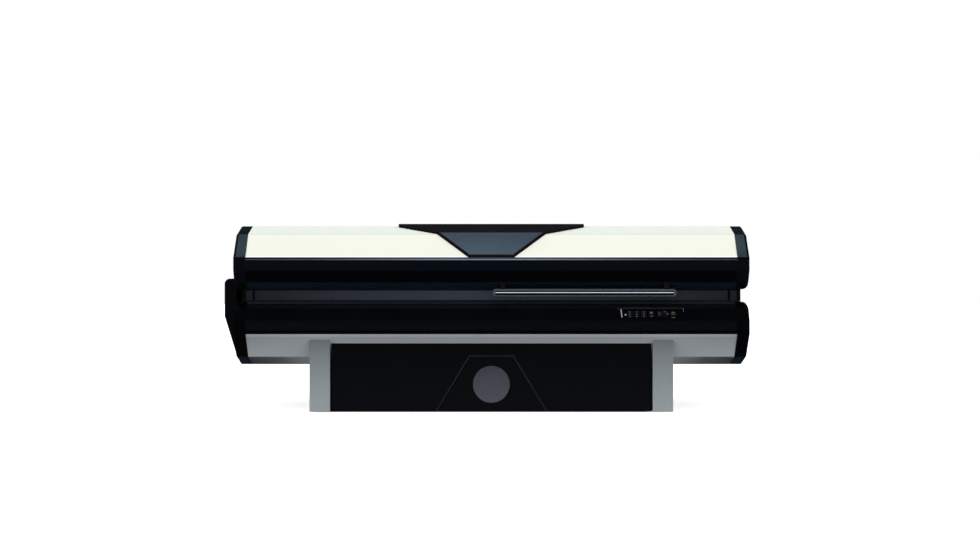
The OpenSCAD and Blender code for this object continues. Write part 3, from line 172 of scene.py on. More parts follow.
MID = 30.5        # the body's middle lies this far right of the origin, in mm
HALF_D = 550.0    # half depth of the body
END_X = 1100.0    # where the long panels end, either way from the middle
SKIN = 5.0        # wall of the shells and caps
# Heights of the tub's section, from its belly up to the rim
TUB = dict(belly=205.0, facet=246.5, lip=352.0, nose0=368.0, nose=413.0, shoulder=467.0,
           rim0=486.0, rim=496.0)


def put(name, parts, material, body, replaces=(), sharp=30, merge=True):
    """Makes one piece from parts, each a pair of points in mm and faces. Points are shifted to the
    body's middle, doubles merged, normals turned outwards and folds over sharp degrees kept crisp."""
    mesh = bpy.data.meshes.new(name)
    points, faces, start = [], [], 0
    for some, sides in parts:
        some = np.asarray(some, float).reshape(-1, 3)
        points.append((some + [MID, 0, 0]) / 1000)
        faces += [tuple(int(i) + start for i in side) for side in sides]
        start += len(some)
    mesh.from_pydata(np.concatenate(points), [], faces)
    if merge:
        work = bmesh.new()
        work.from_mesh(mesh)
        bmesh.ops.remove_doubles(work, verts=work.verts, dist=2e-6)
        bmesh.ops.dissolve_degenerate(work, edges=work.edges, dist=1e-6)
        bmesh.ops.recalc_face_normals(work, faces=work.faces)
        work.to_mesh(mesh)
        work.free()
    mesh.shade_smooth()
    mesh.set_sharp_from_angle(angle=np.radians(sharp))
    mesh.materials.append(material)
    piece = bpy.data.objects.new(name, mesh)
    bpy.context.scene.collection.objects.link(piece)
    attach(piece, body)
    if replaces:
        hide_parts(*replaces)
    return piece


def offset_line(points, by):
    """The line drawn by mm to its right: each corner moves along (n1 + n2) / (1 + n1.n2), the mitre
    of the unit normals of its two sides, and a loose end moves along its own normal."""
    p = np.asarray(points, float)
    run = np.roll(p, -1, 0) - p
    run /= np.linalg.norm(run, axis=1, keepdims=True) + 1e-12
    after = np.stack([run[:, 1], -run[:, 0]], 1)
    before = np.roll(after, 1, 0)
    after[-1], before[0] = before[-1], after[0]
    return p + by * (before + after) / (1 + (before * after).sum(1, keepdims=True))


def fold_line(points, radii, steps=4):
    """The line with soft folds: each corner P becomes the parabola (1-u)^2 start + 2u(1-u) P + u^2 end,
    which starts and ends r tan(turn / 2) from P, or less where the sides are short."""
    p = np.asarray(points, float)
    back, on = np.roll(p, 1, 0) - p, np.roll(p, -1, 0) - p
    size_back, size_on = np.linalg.norm(back, axis=1), np.linalg.norm(on, axis=1)
    back, on = back / (size_back[:, None] + 1e-12), on / (size_on[:, None] + 1e-12)
    turn = np.pi - np.arccos(np.clip((back * on).sum(1), -1, 1))
    room = 0.45 * np.minimum(size_back, size_on)
    reach = np.minimum(np.broadcast_to(radii, len(p)) * np.tan(turn / 2), room)
    u = np.linspace(0, 1, steps + 1)[None, :, None]
    start, end = p + back * reach[:, None], p + on * reach[:, None]
    line = (1 - u) ** 2 * start[:, None] + 2 * u * (1 - u) * p[:, None] + u ** 2 * end[:, None]
    return np.concatenate([p[:1], line[1:-1].reshape(-1, 2), p[-1:]])


def two_skins(outer, inner, keep=None, loop=False):
    """A wall between two like grids of points [rows, columns, 3]. keep says which cells stay; a strip of
    faces joins the skins round the rim and round each window; loop joins the last column to the first."""
    rows, cols = outer.shape[:2]
    index = np.arange(rows * cols).reshape(rows, cols)
    wide = np.concatenate([index, index[:, :1]], 1) if loop else index
    keep = np.ones((rows - 1, wide.shape[1] - 1), bool) if keep is None else keep
    cell = np.stack([wide[:-1, :-1], wide[1:, :-1], wide[1:, 1:], wide[:-1, 1:]], -1)[keep]
    under = rows * cols
    faces = [cell, cell[:, ::-1] + under]
    solid = np.pad(keep, ((1, 1), (0, 0)))
    cut = solid[1:] != solid[:-1]
    a, b = wide[:, :-1][cut], wide[:, 1:][cut]
    faces.append(np.stack([a, b, b + under, a + under], -1))
    solid = np.concatenate([keep[:, -1:], keep, keep[:, :1]], 1) if loop else np.pad(keep, ((0, 0), (1, 1)))
    cut = solid[:, 1:] != solid[:, :-1]
    if loop:
        cut[:, -1] = False
    a, b = wide[:-1][cut], wide[1:][cut]
    faces.append(np.stack([a, b, b + under, a + under], -1))
    points = np.concatenate([outer.reshape(-1, 3), inner.reshape(-1, 3)])
    return points, [tuple(f) for block in faces for f in block.tolist()]


def along_x(line, xs):
    """Grid of a line of (y, z) points repeated at each x."""
    grid = np.empty((len(xs), len(line), 3))
    grid[:, :, 0] = np.asarray(xs, float)[:, None]
    grid[:, :, 1:] = np.asarray(line, float)[None]
    return grid


def inset_points(points):
    """[inset, height] pairs of the section as (y, z) at the front: y = inset - half depth."""
    return np.asarray(points, float) - [HALF_D, 0]


def eased(outer, inner, by):
    """The outer skin with its border points sunk towards the inner skin by mm, for a broken edge."""
    drop = inner - outer
    drop = drop / (np.linalg.norm(drop, axis=2, keepdims=True) + 1e-12) * by
    sunk = outer.copy()
    sunk[[0, -1]] += drop[[0, -1]]
    sunk[1:-1, [0, -1]] += drop[1:-1, [0, -1]]
    return sunk


def edge_stations(low, high, ease, between=()):
    """Places along a run: its two ends, the broken edges just inside them, and those between."""
    return np.array(sorted({low, low + ease, *between, high - ease, high}))


def bent_panel(points, fold=4.0, ease=0.8, rear=False, level=None, windows=()):
    """A sheet bent along the section's points and drawn out over the panels' length. Its inner skin is
    the mitred offset; level keeps it between two heights; windows are (x0, x1, z0, z1) boxes cut
    through it; rear mirrors it to the rear."""
    line = inset_points(points)
    radii = np.broadcast_to(fold, len(line))
    pair = []
    for one, r in ((line, radii), (offset_line(line, SKIN), np.maximum(radii - SKIN, 1.0))):
        one = fold_line(one, r)
        for z in sorted({z for w in windows for z in w[2:]}):
            k = int(np.flatnonzero((one[:-1, 1] < z) & (one[1:, 1] > z))[0])
            part = (z - one[k, 1]) / (one[k + 1, 1] - one[k, 1])
            one = np.insert(one, k + 1, one[k] + part * (one[k + 1] - one[k]), axis=0)
        for end, next_one in ((0, 1), (-1, -2)):
            away = one[next_one] - one[end]
            spot = one[end] + away / np.linalg.norm(away) * ease
            one = np.insert(one, 1 if end == 0 else len(one) - 1, spot, axis=0)
        pair.append(one if level is None else np.stack([one[:, 0], np.clip(one[:, 1], *level)], 1))
    xs = edge_stations(-END_X, END_X, ease, [x for w in windows for x in w[:2]])
    outer, inner = (along_x(one, xs) for one in pair)
    middle = (outer[:-1, :-1] + outer[1:, 1:]) / 2
    x, z = middle[:, :, 0], middle[:, :, 2]
    keep = np.ones(x.shape, bool)
    for a, b, low, high in windows:
        keep &= ~((x > a) & (x < b) & (z > low) & (z < high))
    if rear:
        outer, inner = outer * [1, -1, 1], inner * [1, -1, 1]
    return two_skins(eased(outer, inner, ease), inner, keep)


def graded(made, axis, stops):
    """A colour that runs through stops of (mm, sRGB hex) along Z, or along |X|, the distance from the
    body's middle, straight from stop to stop in linear light. Returns the socket."""
    tree = made.node_tree
    place = add(tree, "ShaderNodeSeparateXYZ", {0: where(made)})
    along = place.outputs[axis.strip("|")]
    if axis == "|X|":
        shifted = add(tree, "ShaderNodeMath", {0: along, 1: MID / 1000}, operation="SUBTRACT")
        along = add(tree, "ShaderNodeMath", {0: shifted.outputs[0]}, operation="ABSOLUTE").outputs[0]
    low, high = stops[0][0], stops[-1][0]
    share = add(tree, "ShaderNodeMapRange", {
        "Value": along, "From Min": low / 1000, "From Max": high / 1000})
    ramp = add(tree, "ShaderNodeValToRGB", {"Fac": share.outputs[0]})
    for _ in stops[2:]:
        ramp.color_ramp.elements.new(0.5)
    for element, (at, code) in zip(ramp.color_ramp.elements, stops):
        element.position, element.color = (at - low) / (high - low), tone(code)
    return ramp.outputs["Color"]


def tint(made, colour, size_mm, sway=0.06):
    """Gives a material a graded colour, darkened by up to a share sway in patches about size_mm wide."""
    tree, shader = wiring(made)
    noise = add(tree, "ShaderNodeTexNoise", {
        "Vector": where(made), "Scale": 1000 / size_mm, "Detail": 2.0})
    darker = blend(made, 1.0, colour, (1 - sway, 1 - sway, 1 - sway, 1), "MULTIPLY")
    tree.links.new(blend(made, noise.outputs["Fac"], colour, darker), shader.inputs["Base Color"])


# Metallic lacquer on sheet steel: silver base coat with fine flake under a thin clear coat. The fade
# from mid gray under the tub to light gray at the floor stands in for the studio's soft light
leg_lacquer = finish(
    "silver_lacquered_steel", "#989fa4", Metallic=0.15, Roughness=0.42, Coat_Weight=0.15,
    Coat_Roughness=0.3, gloss=(0.38, 0.48, 1.4), grain=(1.0, 0.012))
tint(leg_lacquer, graded(leg_lacquer, "Z", [(0, "#adb7ba"), (335, "#74797f")]), 260)
for name in ("left_leg", "right_leg"):
    dress(name, leg_lacquer, 2.5, 3)

# Base panels and medallion
# Two flat sheet-metal covers, satin black, close the base between the legs; a groove is pressed
# into the front one. A plain dished disc of slate-sprayed acrylic is glued on its middle.

# Satin black powder coat: deep gray-black; a slight fade stands in for light from the floor
satin_black = finish(
    "satin_black_powder_coat", "#06080e", Roughness=0.42, Specular_IOR_Level=0.3, gloss=(0.38, 0.48, 30),
    grain=(1.5, 0.03))
tint(satin_black, graded(satin_black, "Z", [(0, "#0b0c12"), (260, "#05070d")]), 180)
# Gray for the painted highlight along the groove's edges
groove_highlight = finish("groove_painted_highlight", "#3c3f44", Roughness=0.5, hue=("#35383d", "#43464b", 40))
# Moulded acrylic, sprayed satin slate: paler and smoother than the panel behind it
medallion_acrylic = finish(
    "slate_sprayed_acrylic", "#464a52", Roughness=0.34, Specular_IOR_Level=0.5, gloss=(0.3, 0.4, 40))
# Lighter towards its foot and darker towards its top: painted light from the floor
tint(medallion_acrylic, graded(medallion_acrylic, "Z", [(42, "#53575f"), (208, "#3f434b")]), 60, 0.1)
for name in ("base_front_panel", "base_rear_panel"):
    dress(name, satin_black, 0.9)
dress("base_medallion", medallion_acrylic, 0.5)


def groove_line(run_in, wide, front, back):
    """A strip laid along the pressed trapezoid: its inner and outer lines are the groove's foot, slope and
    top drawn in by run_in and run_in + wide mm, square to each side."""
    foot, top, low, high = 252.0, 100.0, 4.0, 255.0     # half widths and heights of the trapezoid
    slope = (foot - top) / (high - low)
    lines = []
    for by in (run_in, run_in + wide):
        side = by * np.hypot(1, slope)
        right = [(top - side + slope * by, high - by), (foot - side, low + 0.5)]
        lines.append(np.array([(-right[1][0], right[1][1]), (-right[0][0], right[0][1]), *right]))
    faces = [np.stack([np.stack([p[:, 0], np.full(4, y), p[:, 1]], 1) for p in lines]) for y in (front, back)]
    return two_skins(faces[0], faces[1])


# A painted highlight: a fine gray strip along the floor of the groove, where its edges catch the light
put("base_groove_highlight", [groove_line(run_in=1.6, wide=1.8, front=-500.5, back=-499.9)], groove_highlight,
    "tub_and_base")

# Tub under shell
# One long sheet bent into the flat belly, two shallow and two steep facets, sprayed metallic
# silver; its lips are held under the black bands.

LOW_IN, MAIN_IN, LIP_IN = 264.0, 108.0, 8.0     # the folds and the lip, in from the body's side
# Metallic lacquer on moulded sheet: the same silver as the legs, cooler and smoother. It is lightest at
# the fold and darker towards the ends, which stands in for the studio's soft light
shell_lacquer = finish(
    "silver_lacquered_shell", "#a8aeb3", Metallic=0.15, Roughness=0.36, Coat_Weight=0.2, Coat_Roughness=0.2,
    gloss=(0.33, 0.4, 1.4), grain=(1.0, 0.01))
height = graded(shell_lacquer, "Z", [(TUB["facet"], "#bcc2c6"), (337, "#a2a8ae"), (343, "#b6bcc1")])
main = graded(shell_lacquer, "|X|", [(780, "#ffffff"), (1100, "#e8e8e9")])
low = graded(shell_lacquer, "|X|", [(830, "#ffffff"), (960, "#9c9c9d"), (1100, "#636365")])
above = graded(shell_lacquer, "Z", [(243, "#000000"), (249, "#ffffff")])
share = blend(shell_lacquer, above, low, main)
tint(shell_lacquer, blend(shell_lacquer, 1.0, height, share, "MULTIPLY"), 320)
half = [(LIP_IN, TUB["lip"]), (MAIN_IN, TUB["facet"]), (LOW_IN, TUB["belly"])]
points = [(2 * HALF_D - i, z) for i, z in half] + half[::-1]
put("under_shell", [bent_panel(points, fold=5, level=(0, TUB["lip"]))], shell_lacquer,
    "tub_and_base", ["tub_under_shell"])

# Tub bands
# Long moulded side covers in high-gloss black acrylic-faced ABS, front and rear: a set-back lip, an
# upright nose, the leaning band, the shoulder and the rim that the bed sheet rests on.

# Heights of the canopy's section above them, from its underside up to the roof
CANOPY = dict(under=552.0, lean=583.0, upright=636.0, strip=681.0, white=695.0, fold=801.0, roof=841.0)
# Gloss black acrylic: black through and through, mirror smooth, with a very faint long waviness. Each
# facet has one tone, which stands in for what the studio's light does on its slope
gloss_black = finish(
    "gloss_black_acrylic", "#040405", Roughness=0.16, Specular_IOR_Level=0.4, gloss=(0.13, 0.2, 120),
    grain=(14, 0.02, 0.6))
BLEND = 1.5       # half height over which two facets' tones meet, in mm
LIP_TONE, NOSE_TONE, SHOULDER_TONE, RIM_TONE = "#010102", "#08090d", "#0c0d11", "#1b2027"
UNDER_TONE, LEAN_TONE, UPRIGHT_TONE = "#0e1720", "#030103", "#060a11"
stops = [(TUB["lip"], LIP_TONE)]
for edge, below, over in (
        (TUB["nose0"], LIP_TONE, NOSE_TONE), (TUB["nose"], NOSE_TONE, LIP_TONE),
        (TUB["shoulder"], LIP_TONE, SHOULDER_TONE), (TUB["rim0"], SHOULDER_TONE, RIM_TONE),
        (TUB["rim"] + 2, RIM_TONE, UNDER_TONE), (CANOPY["lean"], UNDER_TONE, LEAN_TONE),
        (CANOPY["upright"], LEAN_TONE, UPRIGHT_TONE)):
    stops += [(edge - BLEND, below), (edge + BLEND, over)]
tint(gloss_black, graded(gloss_black, "Z", stops), 300)
# How far in from the body's side the lip, its return, the shoulder, the rim and its flange lie
SET_BACK, RETURN_IN, SHOULDER_IN, RIM_IN, FLANGE_IN = 2.0, 45.0, 36.0, 80.0, 150.0
band = [(RETURN_IN, TUB["lip"]), (SET_BACK, TUB["lip"]), (SET_BACK, TUB["nose0"]), (0, TUB["nose0"]),
        (0, TUB["nose"]), (SHOULDER_IN, TUB["shoulder"]), (RIM_IN, TUB["rim0"]), (RIM_IN, TUB["rim"]),
        (FLANGE_IN, TUB["rim"])]
folds = np.array([1, 1, 0.8, 0.8, 4, 4, 3, 3, 1.0])
PANEL_X, PANEL_Z = 714.5, (TUB["nose"] + TUB["shoulder"]) / 2     # middle of the control panel
HALF_W, HALF_H = 136.5, 22.0                                      # half size of its window
window = (PANEL_X - HALF_W, PANEL_X + HALF_W, PANEL_Z - HALF_H, PANEL_Z + HALF_H)
for name, rear, windows in (("front", False, [window]), ("rear", True, ())):
    put(f"{name}_band", [bent_panel(band, fold=folds, rear=rear, windows=windows)], gloss_black,
        "tub_and_base", [f"tub_{name}_band"])

# Tub frame, lamps and bed sheet
# Laser-cut steel ribs and two square tubes carry the long acrylic bed. Under it lie rows of lamp
# boards on finned aluminium heat sinks: white solder resist with a lens over each diode.

DISH = dict(z=1276.33, r=909.33, rows=7, step=6.931, up=-1)      # face of the boards under the bed
ARCH = dict(z=203.93, r=567.07, rows=8, step=11.215, up=1)       # face of the boards in the canopy
BOARD = dict(count=3, length=699.33, pitch=705.33, first=-1055.0)     # the boards of one row
LENS = dict(r=8.0, tall=7.0, count=20, along=34.0, across=31.0)       # a lens, and its grid on a board


def lens_array(z, r, rows, step, up):
    """Domed lenses on every board: each is the half ellipse (r cos t, tall sin t) turned about the board's
    normal, in three lines along the board, and each row of boards is turned about the arc's centre."""
    t = np.radians([0, 30, 60, 84])
    ring = np.radians(np.arange(0, 360, 45))
    wide = LENS["r"] * np.cos(t)
    dome = np.stack([np.outer(wide, np.cos(ring)), np.outer(wide, np.sin(ring)),
                     np.repeat(LENS["tall"] * np.sin(t)[:, None], 8, 1)], -1).reshape(-1, 3)
    i = np.arange(8)
    on = (i + 1) % 8
    sides = [np.stack([k * 8 + i, k * 8 + on, k * 8 + 8 + on, k * 8 + 8 + i], 1) for k in range(3)]
    xs = (BOARD["first"] + BOARD["pitch"] * np.arange(BOARD["count"])[:, None] + BOARD["length"] / 2
          + LENS["along"] * (np.arange(LENS["count"]) - (LENS["count"] - 1) / 2)[None]).ravel()
    ys = LENS["across"] * np.array([-1, 0, 1])
    spots = np.stack(np.meshgrid(xs, ys, indexing="ij"), -1).reshape(-1, 2)
    flat = np.empty((len(spots), len(dome), 3))
    flat[:, :, :2] = spots[:, None] + dome[None, :, :2]
    flat[:, :, 2] = up * r - up * (0.1 + dome[None, :, 2])
    turn = np.radians((np.arange(rows) - (rows - 1) / 2) * step)[:, None, None]
    y, h = flat[None, :, :, 1], flat[None, :, :, 2]
    points = np.stack([np.broadcast_to(flat[None, :, :, 0], (rows, *flat.shape[:2])),
                       y * np.cos(turn) - h * np.sin(turn), y * np.sin(turn) + h * np.cos(turn) + z], -1)
    starts = np.arange(rows * len(spots)) * len(dome)
    quads = (starts[:, None, None] + np.concatenate(sides)[None]).reshape(-1, 4)
    ends = (starts[:, None, None] + np.stack([i + 24, i[::-1]])[None]).reshape(-1, 8)
    order = 1 if up < 0 else -1
    return points.reshape(-1, 3), [tuple(f[::order]) for f in quads.tolist() + ends.tolist()]


# Laser-cut steel, powder coated light gray inside the shells
rib_coat = finish(
    "gray_coated_steel", "#6a6e73", Roughness=0.5, hue=("#64686d", "#70747a", 80), grain=(1.6, 0.04))
# Solder resist: hard white epoxy, slightly uneven over the copper under it
solder_resist = finish(
    "white_solder_resist", "#e9eae6", Roughness=0.38, hue=("#e2e4e0", "#f0f0ec", 22), grain=(6, 0.05))
# Extruded aluminium, bare
extruded_aluminium = finish(
    "extruded_aluminium", "#a4a7aa", Metallic=0.6, Roughness=0.34, gloss=(0.28, 0.42, 10))
relief(extruded_aluminium, 1.0, 0.02, stretch=(0.04, 1, 1))
# Moulded silicone lens over a red diode, unlit: milky with a warm pink heart
lens = finish(
    "silicone_lens", "#e9c9c2", Roughness=0.18, Specular_IOR_Level=0.6, Subsurface_Weight=0.15,
    Subsurface_Radius=(0.004, 0.002, 0.001), hue=("#e6bdb6", "#efe4de", 34, 0.0))
# Cast acrylic, clear, with faint draw lines from the oven forming
clear_acrylic = finish(
    "clear_cast_acrylic", "#f4f8f8", Roughness=0.04, IOR=1.49, Transmission_Weight=0.92, Alpha=0.45,
    gloss=(0.02, 0.07, 90))
# White ABS sheet at the two ends of the lying space
inner_white = finish(
    "white_abs_sheet", "#e8eae4", Roughness=0.45, hue=("#e2e5de", "#eef0ea", 90), grain=(1.2, 0.03))
dress("tub_frame", rib_coat, 0.5)
dress("bed_lamp_boards", solder_resist)
dress("bed_heat_sinks", extruded_aluminium)
dress("bed_sheet", clear_acrylic)
dress("bed_end_walls", inner_white, 0.6)
put("bed_lenses", [lens_array(**DISH)], lens, "tub_and_base", merge=False)

# Tub end caps
# Deep moulded caps close the tub at both ends, gloss black ABS with rounded edges. Their decks
# run in to the end ribs, with a slot at the rear for each gas strut.

RIB_X, CAP_X = 1070.0, 1155.0       # the end ribs and the caps' outer ends
CORNER = 27.0                       # rounding of a cap's end on its parting side
SLOT_X, SLOT_Y = (1087.0, 1119.0), (299.15, 394.35)     # strut slots: along the bed, front to back


def cap_grid(outline, low, high, reach, corner, edge, skin, parting):
    """A cap's skin: the outline's two sides, joined by a flat top and foot, in rings from END_X to
    reach. Close to reach a ring is drawn in by edge - sqrt(edge^2 - s^2), and on its parting side
    it stops short by corner - sqrt(corner^2 - s^2), where s is how far it is into the rounding."""
    start, share = reach - corner, (reach - END_X) / (CAP_X - END_X)
    xs = np.unique(np.round(np.concatenate([
        [END_X, END_X + 0.8 * share, END_X + (SLOT_X[1] - END_X) * share],
        start + corner * np.sin(np.radians(np.linspace(0, 90, 10))),
        reach - edge + edge * np.sin(np.radians(np.linspace(0, 90, 6)))]), 4))
    line = fold_line(inset_points(outline), 5.0, 3)
    slotted, plain = np.array([-280.0, 0, 280, *SLOT_Y]), np.linspace(-220, 220, 5)
    over, under = (slotted, plain) if parting > 0 else (plain, slotted)
    rings = []
    for x in xs:
        s = max(0.0, x - (reach - edge)), max(0.0, x - start)
        e = edge - np.sqrt(max(edge ** 2 - s[0] ** 2, 0)) + skin
        c = corner - np.sqrt(max(corner ** 2 - s[1] ** 2, 0)) + skin
        z0, z1 = low + (max(c, e) if parting < 0 else e), high - (max(c, e) if parting > 0 else e)
        side = offset_line(line, e)
        z = np.clip(side[:, 1], z0, z1)
        y = np.interp(z, side[:, 1], side[:, 0])
        up = np.stack([y, z], 1)
        ring = np.concatenate([up, np.stack([over, np.full(5, z1)], 1), (up * [-1, 1])[::-1],
                               np.stack([under, np.full(5, z0)], 1)[::-1]])
        rings.append(np.concatenate([np.full((len(ring), 1), x), ring], 1))
    middle = np.tile([reach, 0, (low + high) / 2], (len(rings[0]), 1))
    return np.stack([*rings, middle])


def end_cap(outline, low, high, parting, left, edge):
    """Both skins of a cap with its strut slot, and its deck: a flat plate from the cap to the end rib."""
    outer = cap_grid(outline, low, high, CAP_X, CORNER, edge, 0, parting)
    inner = cap_grid(outline, low, high, CAP_X - SKIN, CORNER - SKIN, edge - SKIN, SKIN, parting)
    middle = (outer[:-1] + np.roll(outer, -1, 1)[1:]) / 2
    x, y = middle[:, :, 0], middle[:, :, 1]
    level = high if parting > 0 else low
    flat = np.abs(outer[:, :, 2] - level) < 0.01
    flat = (flat & np.roll(flat, -1, 1))[:-1]
    slot = flat & (x < SLOT_X[1]) & (y > SLOT_Y[0]) & (y < SLOT_Y[1])
    parts = [two_skins(outer, inner, ~slot, loop=True)]
    side = HALF_D - FLANGE_IN - 0.3       # the deck ends just short of the bands' flanges
    deck = np.stack(np.meshgrid([RIB_X, SLOT_X[0], END_X], [-side, 0, *SLOT_Y, side], [level],
                                indexing="ij"), -1)[:, :, 0]
    keep = np.ones((2, 4), bool)
    keep[1, 2] = False
    parts.append(two_skins(deck, deck - [0, 0, SKIN * parting], keep))
    return [(points * [-1 if left else 1, 1, 1], faces) for points, faces in parts]


# Gloss black ABS, a match for the bands beside it
cap_black = finish(
    "gloss_black_abs", "#020203", Roughness=0.18, Specular_IOR_Level=0.28, gloss=(0.14, 0.22, 90),
    grain=(12, 0.02, 0.6))
tub_side = [(LOW_IN, TUB["belly"]), (MAIN_IN, TUB["facet"]), (0, TUB["lip"]), (0, TUB["nose"]),
            (SHOULDER_IN, TUB["shoulder"]), (RIM_IN, TUB["rim0"]), (RIM_IN, TUB["rim"])]
for name, left in (("left", True), ("right", False)):
    put(f"tub_cap_{name}", end_cap(tub_side, TUB["belly"], TUB["rim"], 1, left, edge=6.0), cap_black,
        "tub_and_base", [f"tub_end_cap_{name}"])

# Control panel
# A black acrylic bezel on the leaning band frames six sprung keys over a circuit board. Printed
# marks stand for levels, timer, session and power; painted highlights mark where the bezel's edges catch
# light.

BAND_MID = np.array([PANEL_X, SHOULDER_IN / 2 - HALF_D, PANEL_Z])     # middle of the leaning band
BAND_UP = np.array([0, 0.5547, 0.8321])            # up the band's slope
BAND_OUT = np.array([0, -0.8321, 0.5547])          # square out of it
BEZEL_TOP, KEY_TOP = 3.0, 4.0                      # faces of the bezel and the keys above the band
# The third value is how far the painted highlights of the bezel's edges stand out
SUNK, INK, HIGHLIGHT_PROUD = 0.05, 0.25, 0.3                  # how deep a print is bedded, how far it stands out


def on_band(outline, face, proud):
    """A thin print on the panel: the closed outline (u, v), bedded in a face that lies face mm above the
    band, and proud of it by proud mm."""
    p = np.asarray(outline, float)
    n = len(p)
    flat = BAND_MID + np.outer(p[:, 0], [1, 0, 0]) + np.outer(p[:, 1], BAND_UP)
    points = np.concatenate([flat + BAND_OUT * (face - SUNK), flat + BAND_OUT * (face + proud)])
    i = np.arange(n)
    sides = np.stack([i, (i + 1) % n, (i + 1) % n + n, i + n], 1)
    return points, [tuple(i.tolist()[::-1]), tuple((i + n).tolist()), *map(tuple, sides.tolist())]


def bar(u, v, wide, tall, lean=0.0):
    """Four corners of a bar about (u, v) whose top is shifted by lean against its foot."""
    a, b = wide / 2, tall / 2
    return [(u - a - lean / 2, v - b), (u + a - lean / 2, v - b),
            (u + a + lean / 2, v + b), (u - a + lean / 2, v + b)]


def arc(u, v, r0, r1, start, end, steps=28):
    """Outline of a ring's arc from start to end degrees: out along r1 and back along r0."""
    t = np.radians(np.linspace(start, end, steps))
    out, back = (np.stack([u + r * np.cos(a), v + r * np.sin(a)], 1) for r, a in ((r1, t), (r0, t[::-1])))
    return np.concatenate([out, back])


# Panel acrylic: black with a faint warm cast, printed from behind
panel_acrylic = finish(
    "black_panel_acrylic", "#040203", Roughness=0.14, Specular_IOR_Level=0.3, gloss=(0.1, 0.18, 60),
    grain=(10, 0.01, 0.5))
# Key caps: the same acrylic with a softer face
key_acrylic = finish(
    "satin_key_acrylic", "#0a0809", Roughness=0.3, Specular_IOR_Level=0.3, gloss=(0.26, 0.36, 8))
# Circuit board
circuit_board = finish("circuit_board", "#1d5a34", Roughness=0.4, hue=("#174d2b", "#256a3f", 7))
dress("control_bezel", panel_acrylic, 0.5)
dress("control_board", circuit_board)
for name in ("level_key_1", "level_key_2", "level_key_3", "timer_key", "session_key", "power_key"):
    dress(name, key_acrylic, 0.5)


def print_ink(name, colour):
    """Screen-print ink: matt, even colour, slightly thin in places; a weak glow stands in for the
    light behind the panel and keeps the small marks legible."""
    return finish(name, colour, Roughness=0.45, Emission_Color=tone(colour), Emission_Strength=0.12,
                  gloss=(0.4, 0.55, 3))


# The edge ink prints the painted highlights of the bezel's edges, not a printed mark
white_ink, gray_ink, edge_highlight_ink, green_ink, orange_ink, blue_ink = (
    print_ink(f"{name}_ink", colour) for name, colour in (
        ("white", "#b9bdc0"), ("gray", "#6f767c"), ("edge", "#53565a"),
        ("green", "#3f8f4e"), ("orange", "#b4643a"), ("blue", "#86a6c2")))
# Each entry is a body, an ink, and the outlines printed there
prints = [("tub_and_base", "bezel_arrow", white_ink, [[(-116, 1), (-109.5, -4), (-116, -9)]])]
for k, (u, lit) in enumerate(((-95, 1), (-64, 0), (-32, 1))):
    key = f"level_key_{k + 1}"
    marks = [bar(u, 10 - 12 * row, 6.4, 2.4) for row in range(3)]
    prints.append((key, f"{key}_lit", green_ink, [marks.pop(lit)]))
    prints.append((key, f"{key}_marks", gray_ink, marks))
prints += [
    ("timer_key", "timer_dial", gray_ink, [arc(1.5, 5, 3.6, 5.2, -60, 240)]),
    ("timer_key", "timer_hand", white_ink, [bar(1.5, 5.6, 1.2, 4.6), bar(2.5, -12.5, 5, 1.5)]),
    ("session_key", "session_stroke", gray_ink, [bar(37.5, 1, 1.8, 17, -5)]),
    ("session_key", "session_lit", green_ink, [arc(62, 11, 0, 2.0, 0, 345, 14)]),
    ("session_key", "session_mark", white_ink, [arc(73.2, 1, 0, 1.7, 0, 345, 14)]),
    ("power_key", "power_ring", green_ink, [arc(99.9, 3, 5.2, 6.9, 118, 422), bar(99.9, 8.4, 1.7, 6.5)]),
    ("tub_and_base", "standby_dash", orange_ink, [bar(95, -19.5, 6, 1.8)]),
    ("tub_and_base", "signal_dot", blue_ink, [arc(104.5, -19.5, 0, 1.5, 0, 345, 14)]),
]
for body, name, ink, outlines in prints:
    face = BEZEL_TOP if body == "tub_and_base" else KEY_TOP
    put(name, [on_band(o, face, INK) for o in outlines], ink, body)

# Painted highlight at the panel's left end: a slanted pale strip, matt, laid on the band where the bezel's
# inner wall catches the light
bezel_wall_highlight = finish("painted_bezel_wall_highlight", "#a5a39e", Metallic=0.1, Roughness=0.4, gloss=(0.34, 0.46, 30))
put("painted_bezel_highlight", [on_band(bar(-132, 4, 4.6, 44, -3), BEZEL_TOP, HIGHLIGHT_PROUD)], bezel_wall_highlight,
    "tub_and_base")
# Painted highlights: thin gray lines in faintly glowing ink along the bezel's top and down at its ends, where
# its edges catch the light
lines = [bar(0, 30.6, 292, 0.7), bar(-146.3, 24, 0.9, 12), bar(146.2, 21, 2.4, 19, 1)]
put("painted_edge_highlights", [on_band(o, BEZEL_TOP, HIGHLIGHT_PROUD) for o in lines], edge_highlight_ink, "tub_and_base")

# Fan housing
# A moulded black hood on the left end covers two axial fans. Their rotors blow out through
# nickel-plated wire guards.

hood_abs = finish(
    "textured_black_abs", "#060709", Roughness=0.36, Specular_IOR_Level=0.4, gloss=(0.34, 0.46, 40),
    grain=(1.4, 0.04))
fan_plastic = finish(
    "glass_filled_nylon", "#1b1d20", Roughness=0.55, hue=("#18191c", "#212327", 10), grain=(0.8, 0.02))
nickel_wire = finish("nickel_plated_wire", "#c4c2bb", Metallic=0.6, Roughness=0.25, gloss=(0.2, 0.34, 8))
dress("fan_housing", hood_abs, 1.5)
dress("fan_guards", nickel_wire, 0.6)
for name in ("fan_frames", "fan_rotor_front", "fan_rotor_rear"):
    dress(name, fan_plastic, 0.4)

# Canopy frame, lamps and arched sheet
# Steel ribs and tubes like the tub's carry an arched acrylic sheet and, over it, lamp boards on
# finned aluminium heat sinks.

